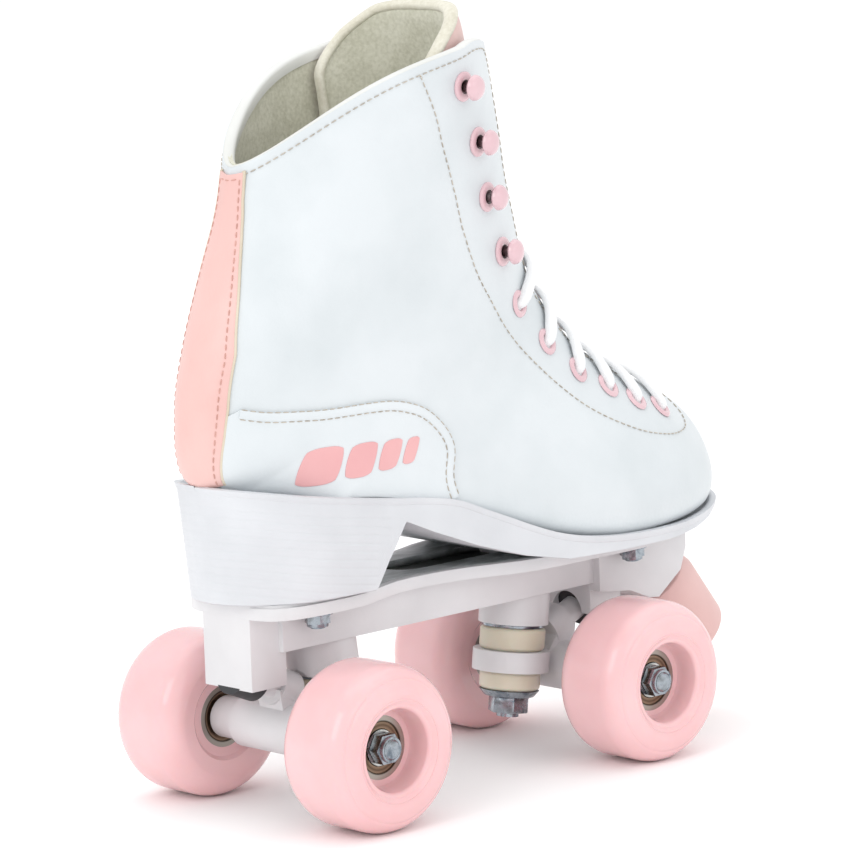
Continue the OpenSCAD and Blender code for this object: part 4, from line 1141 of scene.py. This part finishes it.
def turned(name, profile, spots, steps=28):
    # an open profile, radius and height, is spun into one lathe-turned shape and laid at every place
    outline = np.array(profile, float)
    turns = np.linspace(0, 2 * np.pi, steps, endpoint=False)
    rings = np.stack([outline[:, 0, None] * np.cos(turns), outline[:, 0, None] * np.sin(turns),
                      np.repeat(outline[:, 1, None], steps, axis=1)], -1)
    places, quads = [], []
    for spot, out in spots:
        first = unit(np.cross([0.1, 0.2, 0.97], out))
        second = np.cross(out, first)
        base = len(places) * rings.shape[0] * steps
        places.append(spot + rings[..., 0:1] * first + rings[..., 1:2] * second + rings[..., 2:3] * out)
        for i in range(len(outline) - 1):
            for j in range(steps):
                low, high = base + i * steps, base + (i + 1) * steps
                quads.append((low + j, low + (j + 1) % steps, high + (j + 1) % steps, high + j))
    mesh = bpy.data.meshes.new(name)
    mesh.from_pydata([tuple(p) for p in toFrame(np.concatenate(places).reshape(-1, 3))], [], quads)
    piece = placed(name, mesh)
    editAll(piece)
    bpy.ops.mesh.remove_doubles(threshold=0.005 * mm)
    leaveEdit()
    faceOut(piece)
    smooth(piece, 40)
    return piece


for word, side in (("Left", 1.0), ("Right", -1.0)):
    spots = []
    for u, s in laceHooks["places"]:
        out = bootNormal(np.array(u), np.array(s), np.array(side))
        spots.append((bootPoint(u, s, side), np.asarray(out).reshape(3)))
    # the stem gets the painted shadow finish, standing for the shade between each hook's base and head
    for part, finish in (("base", pinkEnamel), ("stem", hookStemShade), ("head", pinkEnamel)):
        piece = turned("hook" + part.title() + word, laceHooks[part], spots)
        replaced = ["hooks_" + word.lower()] if part == "head" else ()
        dress(piece, "boot", "pink_enamel", finish, replaces=replaced)
print("hooks made")

for end in ("front", "rear"):
    for word, side in (("left", 1), ("right", -1)):
        node = "wheel_%s_%s" % (end, word)
        name = "wheel" + end.title() + word.title()
        wheel = spun(name, wheelProfile(), middle(node), side, wheelShape["steps"])
        dress(wheel, node, "wheel_urethane", wheelUrethane, replaces=[node])
print("wheels made")


def softened(node, edge, slot, finish, angle=38, segments=2, flat=1.0, smoothAngle=35):
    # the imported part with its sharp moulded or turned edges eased
    source = nodes[node]
    mesh = source.data.copy()
    mesh.name = node + "Eased"
    parts = node.split("_")
    piece = placed(parts[0] + "".join(p.title() for p in parts[1:]), mesh)
    pick(piece)
    if mesh.has_custom_normals:
        bpy.ops.mesh.customdata_custom_splitnormals_clear()
    editAll(piece)
    bpy.ops.mesh.remove_doubles(threshold=0.002 * mm)
    bpy.ops.mesh.select_all(action="SELECT")
    bpy.ops.mesh.dissolve_limited(angle_limit=math.radians(flat))
    leaveEdit()
    for polygon in mesh.polygons:
        polygon.material_index = 0
    if edge:
        addModifier(piece, "BEVEL", width=edge * mm, segments=segments, limit_method="ANGLE",
                    angle_limit=math.radians(angle), harden_normals=False)
    smooth(piece, smoothAngle)
    return dress(piece, body_of(source)[0], slot, finish, replaces=[node])


softened("plate", 1.3, "white_nylon", plateNylon, segments=3)
softened("toe_stop", 0.6, "stop_rubber", stopRubber)
softened("mounting_nuts", 0.3, "zinc_steel", zincPlate)
for side in ("left", "right"):
    softened("eyelets_" + side, 0.15, "pink_enamel", pinkEnamel, smoothAngle=50)
for end in ("front", "rear"):
    softened("hanger_" + end, 0.8, "white_nylon", plateNylon, segments=3)
    softened("kingpin_nut_" + end, 0.5, "zinc_steel", zincPlate)
    softened("cup_washers_" + end, 0.25, "zinc_steel", zincPlate)
    softened("axle_nuts_" + end, 0.3, "zinc_steel", zincPlate)
    softened("cushion_upper_" + end, 0.4, "cushion_urethane", cushionUrethane)
    softened("cushion_lower_" + end, 0.4, "cushion_urethane", cushionUrethane)

plain = {"insole_board": insoleBoard, "mounting_bolts": zincPlate, "toe_stop_bolt": zincPlate}
for end, centre in (("front", frontAxle), ("rear", rearAxle)):
    for part in ("kingpin_", "axle_", "spacers_"):
        plain[part + end] = zincPlate
    plain["pivot_cup_" + end] = pivotRubber
    plain["inner_races_" + end] = groundSteel
    races = bearingSteel("shieldedBearing" + end.title(), centre.x)
    for side in ("left", "right"):
        plain["outer_races_%s_%s" % (end, side)] = races
        plain["balls_%s_%s" % (end, side)] = groundSteel
for node, finish in plain.items():
    piece = nodes[node]
    for place in piece.material_slots:
        place.material = finish
print("plate, trucks and fittings dressed")


deselect()
bpy.ops.mesh.primitive_plane_add(size=30, location=(0, 0, 0))
floor = bpy.context.object
floor.name = "studioFloor"
paper, tree, shader = newFinish("matteWhitePaper", Roughness=0.9, Specular_IOR_Level=0.1)
shader.inputs["Base Color"].default_value = linear("#FFFFFF")
floor.data.materials.append(paper)

studio = bpy.data.worlds.new("softStudio")
scene.world = studio
studio.use_nodes = True
studio.node_tree.nodes["Background"].inputs["Color"].default_value = (1, 1, 1, 1)
studio.node_tree.nodes["Background"].inputs["Strength"].default_value = 1.04


def softLight(name, place, aim, size, watts):
    light = bpy.data.lights.new(name, "AREA")
    light.shape = "RECTANGLE"
    light.size, light.size_y = size
    light.energy = watts
    lamp = placed(name, light)
    lamp.location = place
    lamp.rotation_euler = (Vector(aim) - Vector(place)).to_track_quat("-Z", "Y").to_euler()


softLight("keyFromHeel", (-1.9, -0.55, 1.25), (0, 0, 0.1), (0.9, 1.3), 8)
softLight("fillFromSide", (-0.3, -2.1, 1.2), (0, 0, 0.1), (1.4, 1.0), 3)
softLight("overhead", (0.3, 0.3, 2.3), (0, 0, 0), (2.4, 2.4), 12)

turn = math.radians(-43.6)
rise = math.radians(8.97)
roll = math.radians(-1.97)
toward = Vector((-math.sin(turn) * math.cos(rise), math.cos(turn) * math.cos(rise), -math.sin(rise)))
right = toward.cross(Vector((0, 0, 1))).normalized()
above = right.cross(toward)
leaned = right * math.cos(roll) + above * math.sin(roll)
tilted = above * math.cos(roll) - right * math.sin(roll)
camera = bpy.data.cameras.new("studioCamera")
camera.lens = 188.8
camera.sensor_width = 36
eyePiece = placed("studioCamera", camera)
eyePiece.matrix_world = Matrix.Translation((-1.0865, -1.1255, 0.37005)) @ Matrix(
    (leaned, tilted, -toward)).transposed().to_4x4()
scene.camera = eyePiece
scene.view_settings.view_transform = "Standard"
scene.view_settings.look = "None"
print("floor, light and camera set")
